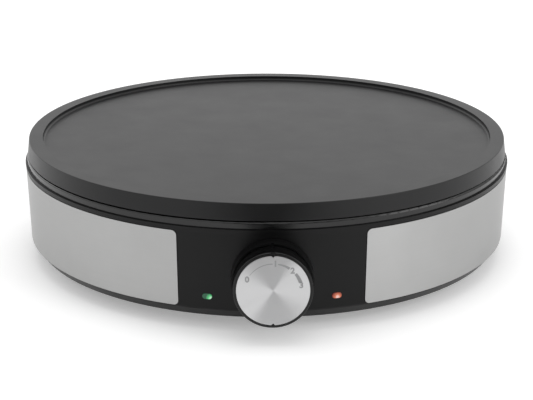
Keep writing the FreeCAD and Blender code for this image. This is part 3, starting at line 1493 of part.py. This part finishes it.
def saddle_clip(label, y, z, inner):
    """A strip that lies flat on the griddle's underside and loops under a rod."""
    body = new_body(label)
    strip = new_sketch(body, "strip", "YZ_Plane", -size.saddle_width / 2)
    flat = PLATE_UNDER - size.fit_gap
    outer = inner + size.saddle_thickness
    draw_box(strip, y - size.saddle_ear, y + size.saddle_ear, flat - size.saddle_thickness, flat)
    pad(body, strip, size.saddle_width)
    loop = new_sketch(body, "loop", "YZ_Plane", -size.saddle_width / 2)
    draw_circle(loop, y, z, outer)
    pad(body, loop, size.saddle_width)
    above = new_sketch(body, "above", "YZ_Plane", size.saddle_width / 2)
    draw_box(above, y - outer, y + outer, flat, z + 2 * outer)
    pocket(body, above, size.saddle_width)
    bore = new_sketch(body, "bore", "YZ_Plane", size.saddle_width / 2)
    draw_circle(bore, y, z, inner)
    pocket(body, bore, size.saddle_width)
    holes = new_sketch(body, "holes", "XY_Plane", flat)
    for side in (1, -1):
        draw_circle(holes, 0, y + side * size.saddle_span, size.small_screw_radius + size.fit_gap)
    pocket(body, holes, size.saddle_thickness)


def earth_tag():
    """Ring tag under the earth screw, with a tongue for its wire."""
    body = new_body("earth_tag")
    top = PLATE_UNDER - size.earth_boss_height
    ring = new_sketch(body, "ring", "XY_Plane", top)
    draw_circle(ring, size.earth_x, size.earth_y, size.earth_boss)
    pad(body, ring, size.tag_thickness, backwards=True)
    tongue = new_sketch(body, "tongue", "XY_Plane", top)
    half = size.earth_boss / 2
    draw_box(tongue, size.earth_x - size.tag_length, size.earth_x, size.earth_y - half, size.earth_y + half)
    pad(body, tongue, size.tag_thickness, backwards=True)
    hole = new_sketch(body, "hole", "XY_Plane", top)
    draw_circle(hole, size.earth_x, size.earth_y, size.small_screw_radius + size.fit_gap)
    pocket(body, hole, size.tag_thickness)


def wiring():
    """The wires and the capillary tube, from their terminals through the shield's two holes."""
    port_y = size.block_at - size.block_width / 2 + size.wire_entry
    port_z = PAN_TOP + size.block_port_height
    lane = SHIELD_TOP + size.wire_lane
    tab_y = -(CASE_BACK - size.tab_length) + size.wire_radius
    low_tab = size.dial_height - size.tab_rise
    high_tab = size.dial_height + size.tab_rise
    pin_y = -size.element_inset + size.pin_length + size.fit_gap
    fuse_z = PLATE_UNDER - size.fuse_radius - size.fit_gap
    fuse_end = size.fuse_length / 2 + size.saddle_thickness + size.fit_gap
    leg = size.element_leg
    tube(
        "wire_live",
        [
            (-size.block_pitch, port_y, port_z),
            (-size.block_pitch, port_y - size.wire_lead, port_z),
            (-size.tab_offset, tab_y + size.wire_lead, low_tab),
            (-size.tab_offset, tab_y, low_tab),
        ],
        size.wire_radius,
    )
    tube(
        "wire_switched",
        [
            (size.tab_offset, tab_y, high_tab),
            (size.tab_offset, tab_y + size.wire_end, high_tab),
            (size.wire_side, -size.front_hole_at, lane),
            (fuse_end + size.wire_lead, -size.fuse_at, lane),
            (fuse_end + size.wire_end, -size.fuse_at, fuse_z),
            (fuse_end, -size.fuse_at, fuse_z),
        ],
        size.wire_radius,
    )
    tube(
        "wire_fuse_link",
        [
            (-fuse_end, -size.fuse_at, fuse_z),
            (-fuse_end - size.wire_end, -size.fuse_at, fuse_z),
            (-fuse_end - size.wire_end, pin_y + size.wire_end, ELEMENT_Z),
            (-leg, pin_y + size.wire_end, ELEMENT_Z),
            (-leg, pin_y, ELEMENT_Z),
        ],
        size.wire_radius,
    )
    tube(
        "wire_neutral",
        [
            (0, port_y, port_z),
            (0, size.rear_hole_at, port_z),
            (0, size.rear_hole_at, lane),
            (leg, pin_y + size.wire_lead, lane),
            (leg, pin_y + size.wire_end, ELEMENT_Z),
            (leg, pin_y, ELEMENT_Z),
        ],
        size.wire_radius,
    )
    tag_z = PLATE_UNDER - size.earth_boss_height - size.tag_thickness / 2
    tag_end = size.earth_x - size.tag_length - size.fit_gap
    tube(
        "wire_earth",
        [
            (size.block_pitch, port_y, port_z),
            (size.block_pitch, size.rear_hole_at, port_z),
            (size.block_pitch, size.rear_hole_at, lane),
            (tag_end - size.wire_end, size.earth_y, tag_z),
            (tag_end, size.earth_y, tag_z),
        ],
        size.wire_radius / 2,
    )
    bulb_end = size.bulb_length / 2 + size.saddle_thickness + size.fit_gap
    bulb_z = PLATE_UNDER - size.bulb_radius - size.fit_gap
    tube(
        "capillary_tube",
        [
            (-size.wire_side, -CASE_BACK + size.fit_gap, high_tab),
            (-size.wire_side, -CASE_BACK + size.wire_lead, high_tab),
            (-size.wire_side, -size.front_hole_at, lane),
            (-bulb_end - size.wire_lead, size.bulb_at, lane),
            (-bulb_end - size.wire_end, size.bulb_at, bulb_z),
            (-bulb_end, size.bulb_at, bulb_z),
        ],
        size.capillary_radius,
    )


def check_and_write():
    """Stops on any failed object or bad shape, then writes one STEP file for each node."""
    doc.recompute()
    for item in doc.Objects:
        if any(state in item.State for state in ("Invalid", "Error")):
            raise RuntimeError(f"{item.Label} failed: {item.State}")
    os.makedirs("parts", exist_ok=True)
    for node in nodes:
        shape = node.Shape
        if shape.isNull() or not shape.isValid() or not shape.Solids:
            raise RuntimeError(f"{node.Label} has no valid solid")
    for node in nodes:
        node.Shape.exportStep(f"parts/{node.Label}.step")
    print(len(nodes), "nodes written")


griddle_plate()
heating_element()
element_pins()
heat_shield()
collar_ring()
housing_shell()
trim_panels()
base_pan()
feet()
fasteners()
thermostat_body()
thermostat_screws()
thermostat_shaft()
knob_body()
knob_cap()
knob_spring_clip()
lamps()
cord_inlet()
cord_clamp()
terminal_block()
clipped_rods()
earth_tag()
wiring()
check_and_write()
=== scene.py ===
import json
import math

import bmesh
import bpy
from mathutils import Matrix, Vector


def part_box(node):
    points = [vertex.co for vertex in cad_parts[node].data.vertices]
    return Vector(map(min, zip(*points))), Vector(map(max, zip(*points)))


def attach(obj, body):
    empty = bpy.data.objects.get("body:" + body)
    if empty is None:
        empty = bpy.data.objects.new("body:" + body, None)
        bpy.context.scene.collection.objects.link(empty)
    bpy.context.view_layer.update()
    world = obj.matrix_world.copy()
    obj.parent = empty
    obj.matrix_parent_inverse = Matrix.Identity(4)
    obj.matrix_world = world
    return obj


# An electric crepe maker in a white studio: finishes, dial print, lights and camera.
# Metres, in the frame of the CAD model. +Z is up and the dial is at -Y.

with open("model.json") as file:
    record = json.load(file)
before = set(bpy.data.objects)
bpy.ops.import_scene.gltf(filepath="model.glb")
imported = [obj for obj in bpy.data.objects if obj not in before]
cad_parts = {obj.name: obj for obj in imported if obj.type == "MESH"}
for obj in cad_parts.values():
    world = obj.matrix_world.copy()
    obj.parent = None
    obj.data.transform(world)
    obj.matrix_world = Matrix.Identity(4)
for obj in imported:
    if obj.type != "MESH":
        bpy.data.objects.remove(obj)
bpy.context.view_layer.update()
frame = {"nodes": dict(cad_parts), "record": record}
MM = 0.001

# Places taken from the frame
GRIDDLE_LOW, GRIDDLE_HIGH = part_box("griddle_plate")
AXIS_Y = (GRIDDLE_LOW.y + GRIDDLE_HIGH.y) / 2
RIM_TOP = GRIDDLE_HIGH.z
CAP_LOW, CAP_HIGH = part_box("knob_cap")
DIAL = (CAP_LOW + CAP_HIGH) / 2
DIAL_FACE = CAP_LOW.y
CAP_RADIUS = (CAP_HIGH.x - CAP_LOW.x) / 2

# Nearly all of a noise lies between these values
NOISE_LOW = 0.3
NOISE_HIGH = 0.7

WHITE = (1.0, 1.0, 1.0, 1.0)


class Nodes:
    """A short way to write the nodes of a material or world."""

    def __init__(self, owner):
        self.owner = owner
        owner.use_nodes = True
        self.tree = owner.node_tree
        self.tree.nodes.clear()

    def feed(self, target, item):
        """Links a socket to the target, or writes a constant there."""
        if hasattr(item, "is_linked"):
            self.tree.links.new(item, target)
        else:
            target.default_value = item

    def add(self, kind, **inputs):
        """A node with the named inputs fed. A _ in a name stands for a space."""
        node = self.tree.nodes.new(kind)
        for key, item in inputs.items():
            self.feed(node.inputs[key.replace("_", " ")], item)
        return node

    def join(self, kind, *items, operation=None):
        """A node with its inputs fed in their order."""
        node = self.tree.nodes.new(kind)
        if operation:
            node.operation = operation
        for target, item in zip(node.inputs, items):
            self.feed(target, item)
        return node

    def math(self, operation, *items):
        return self.join("ShaderNodeMath", *items, operation=operation).outputs[0]

    def vector_math(self, operation, *items):
        node = self.join("ShaderNodeVectorMath", *items, operation=operation)
        return node.outputs["Value" if operation == "LENGTH" else "Vector"]

    def position(self):
        """The point on the surface, in metres, which moves with the piece."""
        return self.add("ShaderNodeTexCoord").outputs["Object"]

    def noise(self, vector, scale, detail=2.0, roughness=0.5):
        kind = {"Scale": scale, "Detail": detail, "Roughness": roughness}
        return self.add("ShaderNodeTexNoise", Vector=vector, **kind).outputs["Fac"]

    def ramp(self, value, stops):
        """A colour that follows the value through stops of value and colour."""
        node = self.add("ShaderNodeValToRGB", Fac=value)
        elements = node.color_ramp.elements
        while len(elements) < len(stops):
            elements.new(0.5)
        for element, (spot, colour) in zip(elements, stops):
            element.position = spot
            element.color = (*colour, 1.0)
        return node.outputs["Color"]

    def two_tone(self, noise, dark, pale):
        """A colour between two tones."""
        return self.ramp(noise, [(NOISE_LOW, dark), (NOISE_HIGH, pale)])

    def between(self, value, low, high, start=NOISE_LOW, end=NOISE_HIGH):
        """A number that runs from low to high while the value runs from start to end."""
        limits = {"From_Min": start, "From_Max": end, "To_Min": low, "To_Max": high}
        return self.add("ShaderNodeMapRange", Value=value, **limits).outputs["Result"]

    def bump(self, height, distance, strength):
        node = self.add("ShaderNodeBump", Height=height, Distance=distance, Strength=strength)
        return node.outputs["Normal"]

    def round_the_drum(self, radius, along, up):
        """The point's way round the griddle's axis at a radius and its height, each scaled."""
        split = self.add("ShaderNodeSeparateXYZ", Vector=self.position()).outputs
        angle = self.math("ARCTAN2", split["X"], self.math("SUBTRACT", split["Y"], AXIS_Y))
        arc = self.math("MULTIPLY", angle, radius * along)
        height = self.math("MULTIPLY", split["Z"], up)
        return self.add("ShaderNodeCombineXYZ", X=arc, Z=height).outputs[0]

    def from_axis(self, centre):
        """The point's distance from the line along Y through the centre, and the way outwards."""
        offset = self.vector_math("SUBTRACT", self.position(), centre)
        outwards = self.vector_math("MULTIPLY", offset, (1.0, 0.0, 1.0))
        return self.vector_math("LENGTH", outwards), outwards

    def seen(self):
        """One for the rays that show the studio: the camera's, and those of gloss and glass."""
        path = self.add("ShaderNodeLightPath").outputs
        mirrored = self.math("MAXIMUM", path["Is Glossy Ray"], path["Is Transmission Ray"])
        return self.math("MAXIMUM", path["Is Camera Ray"], mirrored)

    def finish(self, shader):
        """Ends the tree in the shader and gives back the material or world."""
        world = isinstance(self.owner, bpy.types.World)
        output = "ShaderNodeOutputWorld" if world else "ShaderNodeOutputMaterial"
        self.add(output, Surface=shader.outputs[0])
        return self.owner

    def finish_surface(self, **inputs):
        """Ends the tree in a Principled shader with the named inputs fed."""
        return self.finish(self.add("ShaderNodeBsdfPrincipled", **inputs))


def new_material(name):
    return Nodes(bpy.data.materials.new(name))


def nonstick_coating():
    """Black sprayed coating: fine grain, faint mottling and slight change of gloss."""
    work = new_material("nonstick_coating")
    place = work.position()
    grain = work.noise(place, scale=2600.0, detail=3.0, roughness=0.6)
    mottle = work.noise(place, scale=45.0, detail=4.0, roughness=0.55)
    return work.finish_surface(
        Base_Color=work.two_tone(mottle, (0.006, 0.006, 0.0063), (0.008, 0.008, 0.0083)),
        Roughness=work.between(mottle, 0.36, 0.4),
        Normal=work.bump(grain, distance=0.04 * MM, strength=0.35),
        IOR=1.38,
    )


def moulded_black(name, base, roughness, grain_depth, index):
    """Black plastic from a spark-eroded tool, with a cloudy tone and a range of roughness."""
    work = new_material(name)
    place = work.position()
    grain = work.noise(place, scale=1900.0, detail=4.0, roughness=0.65)
    cloud = work.noise(place, scale=30.0, detail=3.0)
    dark = [base * share for share in (0.8, 0.8, 0.84)]
    pale = [base * share for share in (1.15, 1.15, 1.2)]
    return work.finish_surface(
        Base_Color=work.two_tone(cloud, dark, pale),
        Roughness=work.between(cloud, *roughness),
        Normal=work.bump(grain, grain_depth, strength=0.4),
        IOR=index,
    )


# Brushing of the steel panels: its radius, how finely it varies along and across, and its share
# of the steel's tone beside the clouds
PANEL_RADIUS = 0.161
BRUSH_ALONG = 14.0
BRUSH_ACROSS = 2600.0
BRUSH_SHARE = 0.35


def brushed_steel():
    """Satin steel brushed round the drum: the gloss spreads up and down, with streaks and clouds."""
    work = new_material("brushed_steel")
    brushing = work.round_the_drum(PANEL_RADIUS, BRUSH_ALONG, BRUSH_ACROSS)
    streaks = work.noise(brushing, scale=1.0, detail=3.0, roughness=0.6)
    clouds = work.noise(work.position(), scale=28.0, detail=3.0)
    cloud_part = work.math("MULTIPLY", clouds, 1 - BRUSH_SHARE)
    both = work.math("ADD", work.math("MULTIPLY", streaks, BRUSH_SHARE), cloud_part)
    return work.finish_surface(
        Base_Color=work.two_tone(both, (0.385, 0.385, 0.382), (0.43, 0.43, 0.427)),
        Roughness=work.between(both, 0.34, 0.4),
        Normal=work.bump(streaks, distance=0.006 * MM, strength=0.2),
        Tangent=work.add("ShaderNodeCombineXYZ", Z=1.0).outputs[0],
        Metallic=1.0,
        Anisotropic=0.8,
        Specular_Tint=(0.78, 0.78, 0.78, 1.0),
    )


def spun_metal():
    """Aluminium turned on a lathe: fine rings round the dial's axis, so the gloss spreads outwards."""
    work = new_material("spun_metal")
    radius, outwards = work.from_axis(DIAL)
    wrapped = work.add("ShaderNodeCombineXYZ", X=radius).outputs[0]
    rings = work.noise(wrapped, scale=5200.0, detail=3.0, roughness=0.7)
    return work.finish_surface(
        Base_Color=work.two_tone(rings, (0.62, 0.62, 0.625), (0.7, 0.7, 0.705)),
        Roughness=work.between(rings, 0.4, 0.45),
        Normal=work.bump(rings, distance=0.004 * MM, strength=0.3),
        Tangent=work.vector_math("NORMALIZE", outwards),
        Metallic=1.0,
        Anisotropic=1.0,
    )


def plain_metal(name, dark, pale, roughness):
    """Plated or drawn metal with a cloudy tone and a range of roughness."""
    work = new_material(name)
    cloud = work.noise(work.position(), scale=120.0, detail=4.0, roughness=0.6)
    grain = work.noise(work.position(), scale=900.0, detail=3.0)
    return work.finish_surface(
        Base_Color=work.two_tone(cloud, dark, pale),
        Roughness=work.between(cloud, *roughness),
        Normal=work.bump(grain, distance=0.02 * MM, strength=0.3),
        Metallic=1.0,
    )


def plain_moulding(name, dark, pale, roughness):
    """A coloured moulding or sleeve with a fine grain and a range of roughness."""
    work = new_material(name)
    cloud = work.noise(work.position(), scale=90.0, detail=3.0)
    grain = work.noise(work.position(), scale=1500.0, detail=3.0)
    return work.finish_surface(
        Base_Color=work.two_tone(cloud, dark, pale),
        Roughness=work.between(cloud, *roughness),
        Normal=work.bump(grain, distance=0.03 * MM, strength=0.4),
        IOR=1.5,
    )


def rubber():
    """Matt black rubber with dusty speckle."""
    work = new_material("rubber")
    speckle = work.noise(work.position(), scale=700.0, detail=5.0, roughness=0.7)
    return work.finish_surface(
        Base_Color=work.ramp(speckle, [(0.35, (0.012, 0.012, 0.012)), (0.75, (0.028, 0.028, 0.027))]),
        Roughness=work.between(speckle, 0.62, 0.8),
        Normal=work.bump(speckle, distance=0.06 * MM, strength=0.5),
        IOR=1.5,
    )


# The lamps' glow: its place across and up the lens, its radius at full light, how far it reaches,
# how unevenly it ends, how much paler its middle is, and its strength
GLOW_ACROSS = 0.62
GLOW_UP = 0.42
GLOW_CORE = 1.2 * MM
GLOW_REACH = 3.6 * MM
GLOW_RIPPLE = 1.2 * MM
GLOW_PALER = 0.35
GLOW_STRENGTH = 0.45


def lamp_lens(node, deep, bright):
    """Clear coloured lens with its lamp behind it: the glow is off the middle and fades outwards."""
    work = new_material(node)
    low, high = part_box(node)
    across = low.x + GLOW_ACROSS * (high.x - low.x)
    up = low.z + GLOW_UP * (high.z - low.z)
    distance, _ = work.from_axis((across, low.y, up))
    ripple = work.noise(work.position(), scale=1400.0)
    uneven = work.math("MULTIPLY_ADD", ripple, GLOW_RIPPLE, distance)
    fade = work.between(uneven, 0.0, 1.0, GLOW_CORE, GLOW_REACH)
    pale = [channel + GLOW_PALER * (1 - channel) for channel in bright]
    colour = work.ramp(fade, [(0.0, pale), (0.35, bright), (1.0, deep)])
    return work.finish_surface(
        Base_Color=colour,
        Roughness=0.1,
        Normal=work.bump(ripple, distance=0.04 * MM, strength=0.35),
        IOR=1.55,
        Emission_Color=colour,
        Emission_Strength=GLOW_STRENGTH,
    )


def lamp_glass():
    """Thin clear glass of the neon lamps."""
    work = new_material("lamp_glass")
    ripple = work.noise(work.position(), scale=400.0)
    return work.finish_surface(
        Base_Color=work.two_tone(ripple, (0.85, 0.82, 0.76), (0.95, 0.93, 0.88)),
        Roughness=0.06,
        Normal=work.bump(ripple, distance=0.04 * MM, strength=0.2),
        IOR=1.5,
        Transmission_Weight=0.6,
    )


def dial_print():
    """Grey pad print on the dial."""
    work = new_material("dial_print")
    speckle = work.noise(work.position(), scale=2500.0)
    return work.finish_surface(
        Base_Color=work.two_tone(speckle, (0.27, 0.27, 0.275), (0.33, 0.33, 0.335)),
        Roughness=0.5,
        Normal=work.bump(speckle, distance=0.005 * MM, strength=0.3),
        IOR=1.5,
    )


# Which material each slot of the record gets
MATERIALS = {
    "griddle": nonstick_coating(),
    "housing_plastic": moulded_black("housing_plastic", 0.0025, (0.36, 0.42), 0.03 * MM, index=1.31),
    "knob_plastic": moulded_black("knob_plastic", 0.003, (0.16, 0.22), 0.006 * MM, index=1.38),
    "trim_steel": brushed_steel(),
    "dial_metal": spun_metal(),
    "rubber": rubber(),
    "green_lens": lamp_lens("green_lamp_lens", (0.005, 0.07, 0.03), (0.07, 0.5, 0.17)),
    "red_lens": lamp_lens("red_lamp_lens", (0.16, 0.02, 0.01), (0.5, 0.12, 0.05)),
    "neon_glass": lamp_glass(),
    "element_sheath": plain_metal("element_sheath", (0.16, 0.15, 0.14), (0.3, 0.28, 0.26), (0.35, 0.5)),
    "zinc_steel": plain_metal("zinc_steel", (0.55, 0.56, 0.6), (0.7, 0.71, 0.73), (0.22, 0.34)),
    "shield_sheet": plain_metal("shield_sheet", (0.66, 0.67, 0.68), (0.78, 0.79, 0.8), (0.3, 0.45)),
    "copper": plain_metal("copper", (0.6, 0.3, 0.18), (0.78, 0.46, 0.3), (0.25, 0.4)),
    "spring_steel": plain_metal("spring_steel", (0.4, 0.4, 0.42), (0.55, 0.55, 0.57), (0.25, 0.35)),
    "phenolic": plain_moulding("phenolic", (0.12, 0.05, 0.03), (0.18, 0.085, 0.05), (0.35, 0.45)),
    "terminal_plastic": plain_moulding(
        "terminal_plastic", (0.72, 0.71, 0.66), (0.82, 0.81, 0.77), (0.4, 0.5)
    ),
    "live_insulation": plain_moulding(
        "live_insulation", (0.16, 0.06, 0.025), (0.24, 0.1, 0.04), (0.45, 0.55)
    ),
    "neutral_insulation": plain_moulding(
        "neutral_insulation", (0.03, 0.1, 0.34), (0.05, 0.15, 0.45), (0.45, 0.55)
    ),
    "earth_insulation": plain_moulding(
        "earth_insulation", (0.14, 0.4, 0.08), (0.5, 0.55, 0.06), (0.45, 0.55)
    ),
    "red_insulation": plain_moulding(
        "red_insulation", (0.5, 0.45, 0.38), (0.64, 0.6, 0.53), (0.65, 0.75)
    ),
}

# The collar is the housing's plastic from a polished tool
OWN_FINISH = {
    "collar_ring": moulded_black("collar_plastic", 0.003, (0.16, 0.22), 0.01 * MM, index=1.5),
}


def dress_nodes():
    """Gives every CAD node the material of its slot, or its own."""
    for part in frame["record"]["subparts"]:
        node = part["node"]
        materials = frame["nodes"][node].data.materials
        materials.clear()
        materials.append(OWN_FINISH.get(node) or MATERIALS[part["material_slot"]])


dress_nodes()

# Dial print: angles in degrees clockwise from the top, seen from the front
PRINT_RADIUS = 0.775 * CAP_RADIUS
PRINT_HEIGHT = 0.02 * MM
PRINT_MATERIAL = dial_print()
NUMBERS = (("0", -65.0), ("1", 4.5), ("2", 42.5), ("3", 78.5))
DIGIT_SIZE = 4.9 * MM
DIGIT_WEIGHT = 0.2 * MM
# The scale's bands: where each starts and ends, and how wide it is there
BANDS = (
    ("dial_scale_low", -55.0, -1.0, 0.25 * MM, 0.5 * MM),
    ("dial_scale_middle", 9.5, 34.5, 0.6 * MM, 1.6 * MM),
    ("dial_scale_high", 51.0, 72.0, 1.7 * MM, 2.2 * MM),
)
BAND_STEPS = 24


def add_object(name, data):
    """A new object in the scene."""
    thing = bpy.data.objects.new(name, data)
    bpy.context.scene.collection.objects.link(thing)
    return thing


def on_dial(angle, radius, height=PRINT_HEIGHT):
    """A point over the dial's face."""
    turn = math.radians(angle)
    across = DIAL.x + radius * math.sin(turn)
    return Vector((across, DIAL_FACE - height, DIAL.z + radius * math.cos(turn)))


def add_print(name, mesh):
    """Print rides with the dial and wears the grey print material."""
    mesh.materials.clear()
    mesh.materials.append(PRINT_MATERIAL)
    piece = add_object(name, mesh)
    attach(piece, "dial")


def print_number(text, angle):
    """One upright number on the dial, as a thin mesh."""
    curve = bpy.data.curves.new(f"digit_{text}", "FONT")
    curve.body = text
    curve.size = DIGIT_SIZE
    curve.align_x = "CENTER"
    curve.align_y = "CENTER"
    curve.extrude = PRINT_HEIGHT / 2
    curve.offset = DIGIT_WEIGHT
    holder = add_object(f"digit_{text}_curve", curve)
    bpy.context.view_layer.update()
    evaluated = holder.evaluated_get(bpy.context.evaluated_depsgraph_get())
    mesh = bpy.data.meshes.new_from_object(evaluated)
    bpy.data.objects.remove(holder)
    upright = Matrix.Rotation(math.radians(90), 4, "X")
    mesh.transform(Matrix.Translation(on_dial(angle, PRINT_RADIUS, PRINT_HEIGHT / 2)) @ upright)
    add_print(f"dial_number_{text}", mesh)


def print_band(name, start, end, start_width, end_width):
    """A printed band along the scale that widens from one end to the other."""
    work = bmesh.new()
    rows = []
    for step in range(BAND_STEPS + 1):
        share = step / BAND_STEPS
        angle = start + share * (end - start)
        half = (start_width + share * (end_width - start_width)) / 2
        inner, outer = PRINT_RADIUS - half, PRINT_RADIUS + half
        corners = ((inner, 0), (outer, 0), (outer, PRINT_HEIGHT), (inner, PRINT_HEIGHT))
        rows.append([work.verts.new(on_dial(angle, radius, height)) for radius, height in corners])
    for first, second in zip(rows, rows[1:]):
        for index in range(4):
            after = (index + 1) % 4
            work.faces.new((first[index], first[after], second[after], second[index]))
    for end_row in (rows[0], rows[-1]):
        work.faces.new(end_row)
    bmesh.ops.recalc_face_normals(work, faces=work.faces)
    mesh = bpy.data.meshes.new(name)
    work.to_mesh(mesh)
    work.free()
    add_print(name, mesh)


for label, label_angle in NUMBERS:
    print_number(label, label_angle)
for band in BANDS:
    print_band(*band)

# Studio: how far the floor reaches, how much whiter than its paint it is seen, and the light of
# the white room round it
FLOOR_REACH = 6.0
FLOOR_LIFT = 0.3
ROOM_LIGHT = 0.72


def floor_paint():
    """Pale matt paint, seen lifted to white, with the object's shadow kept."""
    work = new_material("floor_paint")
    cloud = work.noise(work.position(), scale=3.0)
    colour = work.two_tone(cloud, (0.9, 0.9, 0.9), (0.92, 0.92, 0.92))
    paint = work.add("ShaderNodeBsdfPrincipled", Base_Color=colour, Roughness=0.7, IOR=1.0)
    lift = work.add("ShaderNodeEmission", Strength=work.math("MULTIPLY", work.seen(), FLOOR_LIFT))
    return work.finish(work.join("ShaderNodeAddShader", paint.outputs[0], lift.outputs[0]))


def add_stage(name, corners, faces, material):
    """A flat thing of the studio, which isn't part of the object."""
    mesh = bpy.data.meshes.new(name)
    mesh.from_pydata(corners, [], faces)
    mesh.materials.append(material)
    thing = add_object(name, mesh)
    return thing


def studio_floor():
    """A wide pale floor at the feet."""
    turns = ((-1, -1), (1, -1), (1, 1), (-1, 1))
    corners = [(x * FLOOR_REACH, y * FLOOR_REACH, 0) for x, y in turns]
    add_stage("studio_floor", corners, [(0, 1, 2, 3)], floor_paint())


def studio_world():
    """White where it is seen, straight or in gloss and glass. As a light it is dimmer."""
    world = bpy.data.worlds.new("studio")
    bpy.context.scene.world = world
    work = Nodes(world)
    room = work.add("ShaderNodeBackground", Color=WHITE, Strength=ROOM_LIGHT)
    view = work.add("ShaderNodeBackground", Color=WHITE, Strength=1.0)
    work.finish(work.join("ShaderNodeMixShader", work.seen(), room.outputs[0], view.outputs[0]))


studio_floor()
studio_world()

# The black card in front of the object: it stands some way off, and a tongue of it, just off the
# floor, narrows towards the dial. Distances are from the griddle's axis.
CARD_WIDTH = 1.0
CARD_HEIGHT = 0.5
CARD_AWAY = 1.3
TONGUE_WIDTH = 0.07
TONGUE_AWAY = 0.325
TONGUE_LIFT = 0.001


def card_paint():
    """Dull black card."""
    work = new_material("card_paint")
    cloud = work.noise(work.position(), scale=12.0)
    return work.finish_surface(
        Base_Color=work.two_tone(cloud, (0.01, 0.01, 0.01), (0.014, 0.014, 0.014)),
        Roughness=0.9,
        IOR=1.2,
    )


def dark_card():
    """A black card that only gloss shows: it darkens two sectors of the dial and the housing's middle."""
    rows = (
        (TONGUE_WIDTH, TONGUE_AWAY, TONGUE_LIFT),
        (CARD_WIDTH, CARD_AWAY, TONGUE_LIFT),
        (CARD_WIDTH, CARD_AWAY, CARD_HEIGHT),
    )
    corners = [(side * width / 2, AXIS_Y - away, z) for width, away, z in rows for side in (-1, 1)]
    card = add_stage("dark_card", corners, [(0, 1, 3, 2), (2, 3, 5, 4)], card_paint())
    card.visible_camera = False
    card.visible_diffuse = False
    card.visible_shadow = False
    card.visible_transmission = False


dark_card()

# Soft lamps: name, place, size and power. All face the middle of the object.
LAMP_TARGET = Vector((0.0, AXIS_Y, 0.05))
LAMPS = (
    ("overhead", (0.0, 0.25, 1.6), 1.4, 6.0),
    ("left_side", (-1.2, 1.0, 0.8), 0.9, 2.0),
    ("right_side", (1.3, -0.85, 0.8), 0.9, 5.0),
)


def softbox(name, place, size, power):
    """A square area lamp that faces the object."""
    data = bpy.data.lights.new(name, "AREA")
    data.shape = "SQUARE"
    data.size = size
    data.energy = power
    lamp = add_object(name, data)
    lamp.location = place
    lamp.rotation_euler = (LAMP_TARGET - Vector(place)).to_track_quat("-Z", "Y").to_euler()


for lamp_settings in LAMPS:
    softbox(*lamp_settings)

# The photograph's viewing angle: place and direction relative to the middle of the griddle's rim.
# The lens and the sensor's width are in millimetres.
CAMERA_BACK = 0.9722
CAMERA_UP = 0.2735
CAMERA_PITCH = math.radians(18.45)
CAMERA_HEADING = math.radians(1.2)
LENS = 100.64
SENSOR_WIDTH = 36.0


def studio_camera():
    """The camera that gives the photograph's frame."""
    data = bpy.data.cameras.new("camera")
    data.sensor_width = SENSOR_WIDTH
    data.lens = LENS
    camera = add_object("camera", data)
    heading = Vector((math.sin(CAMERA_HEADING), math.cos(CAMERA_HEADING), 0))
    camera.location = Vector((0, AXIS_Y, RIM_TOP + CAMERA_UP)) - CAMERA_BACK * heading
    forward = heading * math.cos(CAMERA_PITCH) - Vector((0, 0, math.sin(CAMERA_PITCH)))
    camera.rotation_euler = forward.to_track_quat("-Z", "Y").to_euler()
    bpy.context.scene.camera = camera


studio_camera()
bpy.context.scene.view_settings.view_transform = "Standard"
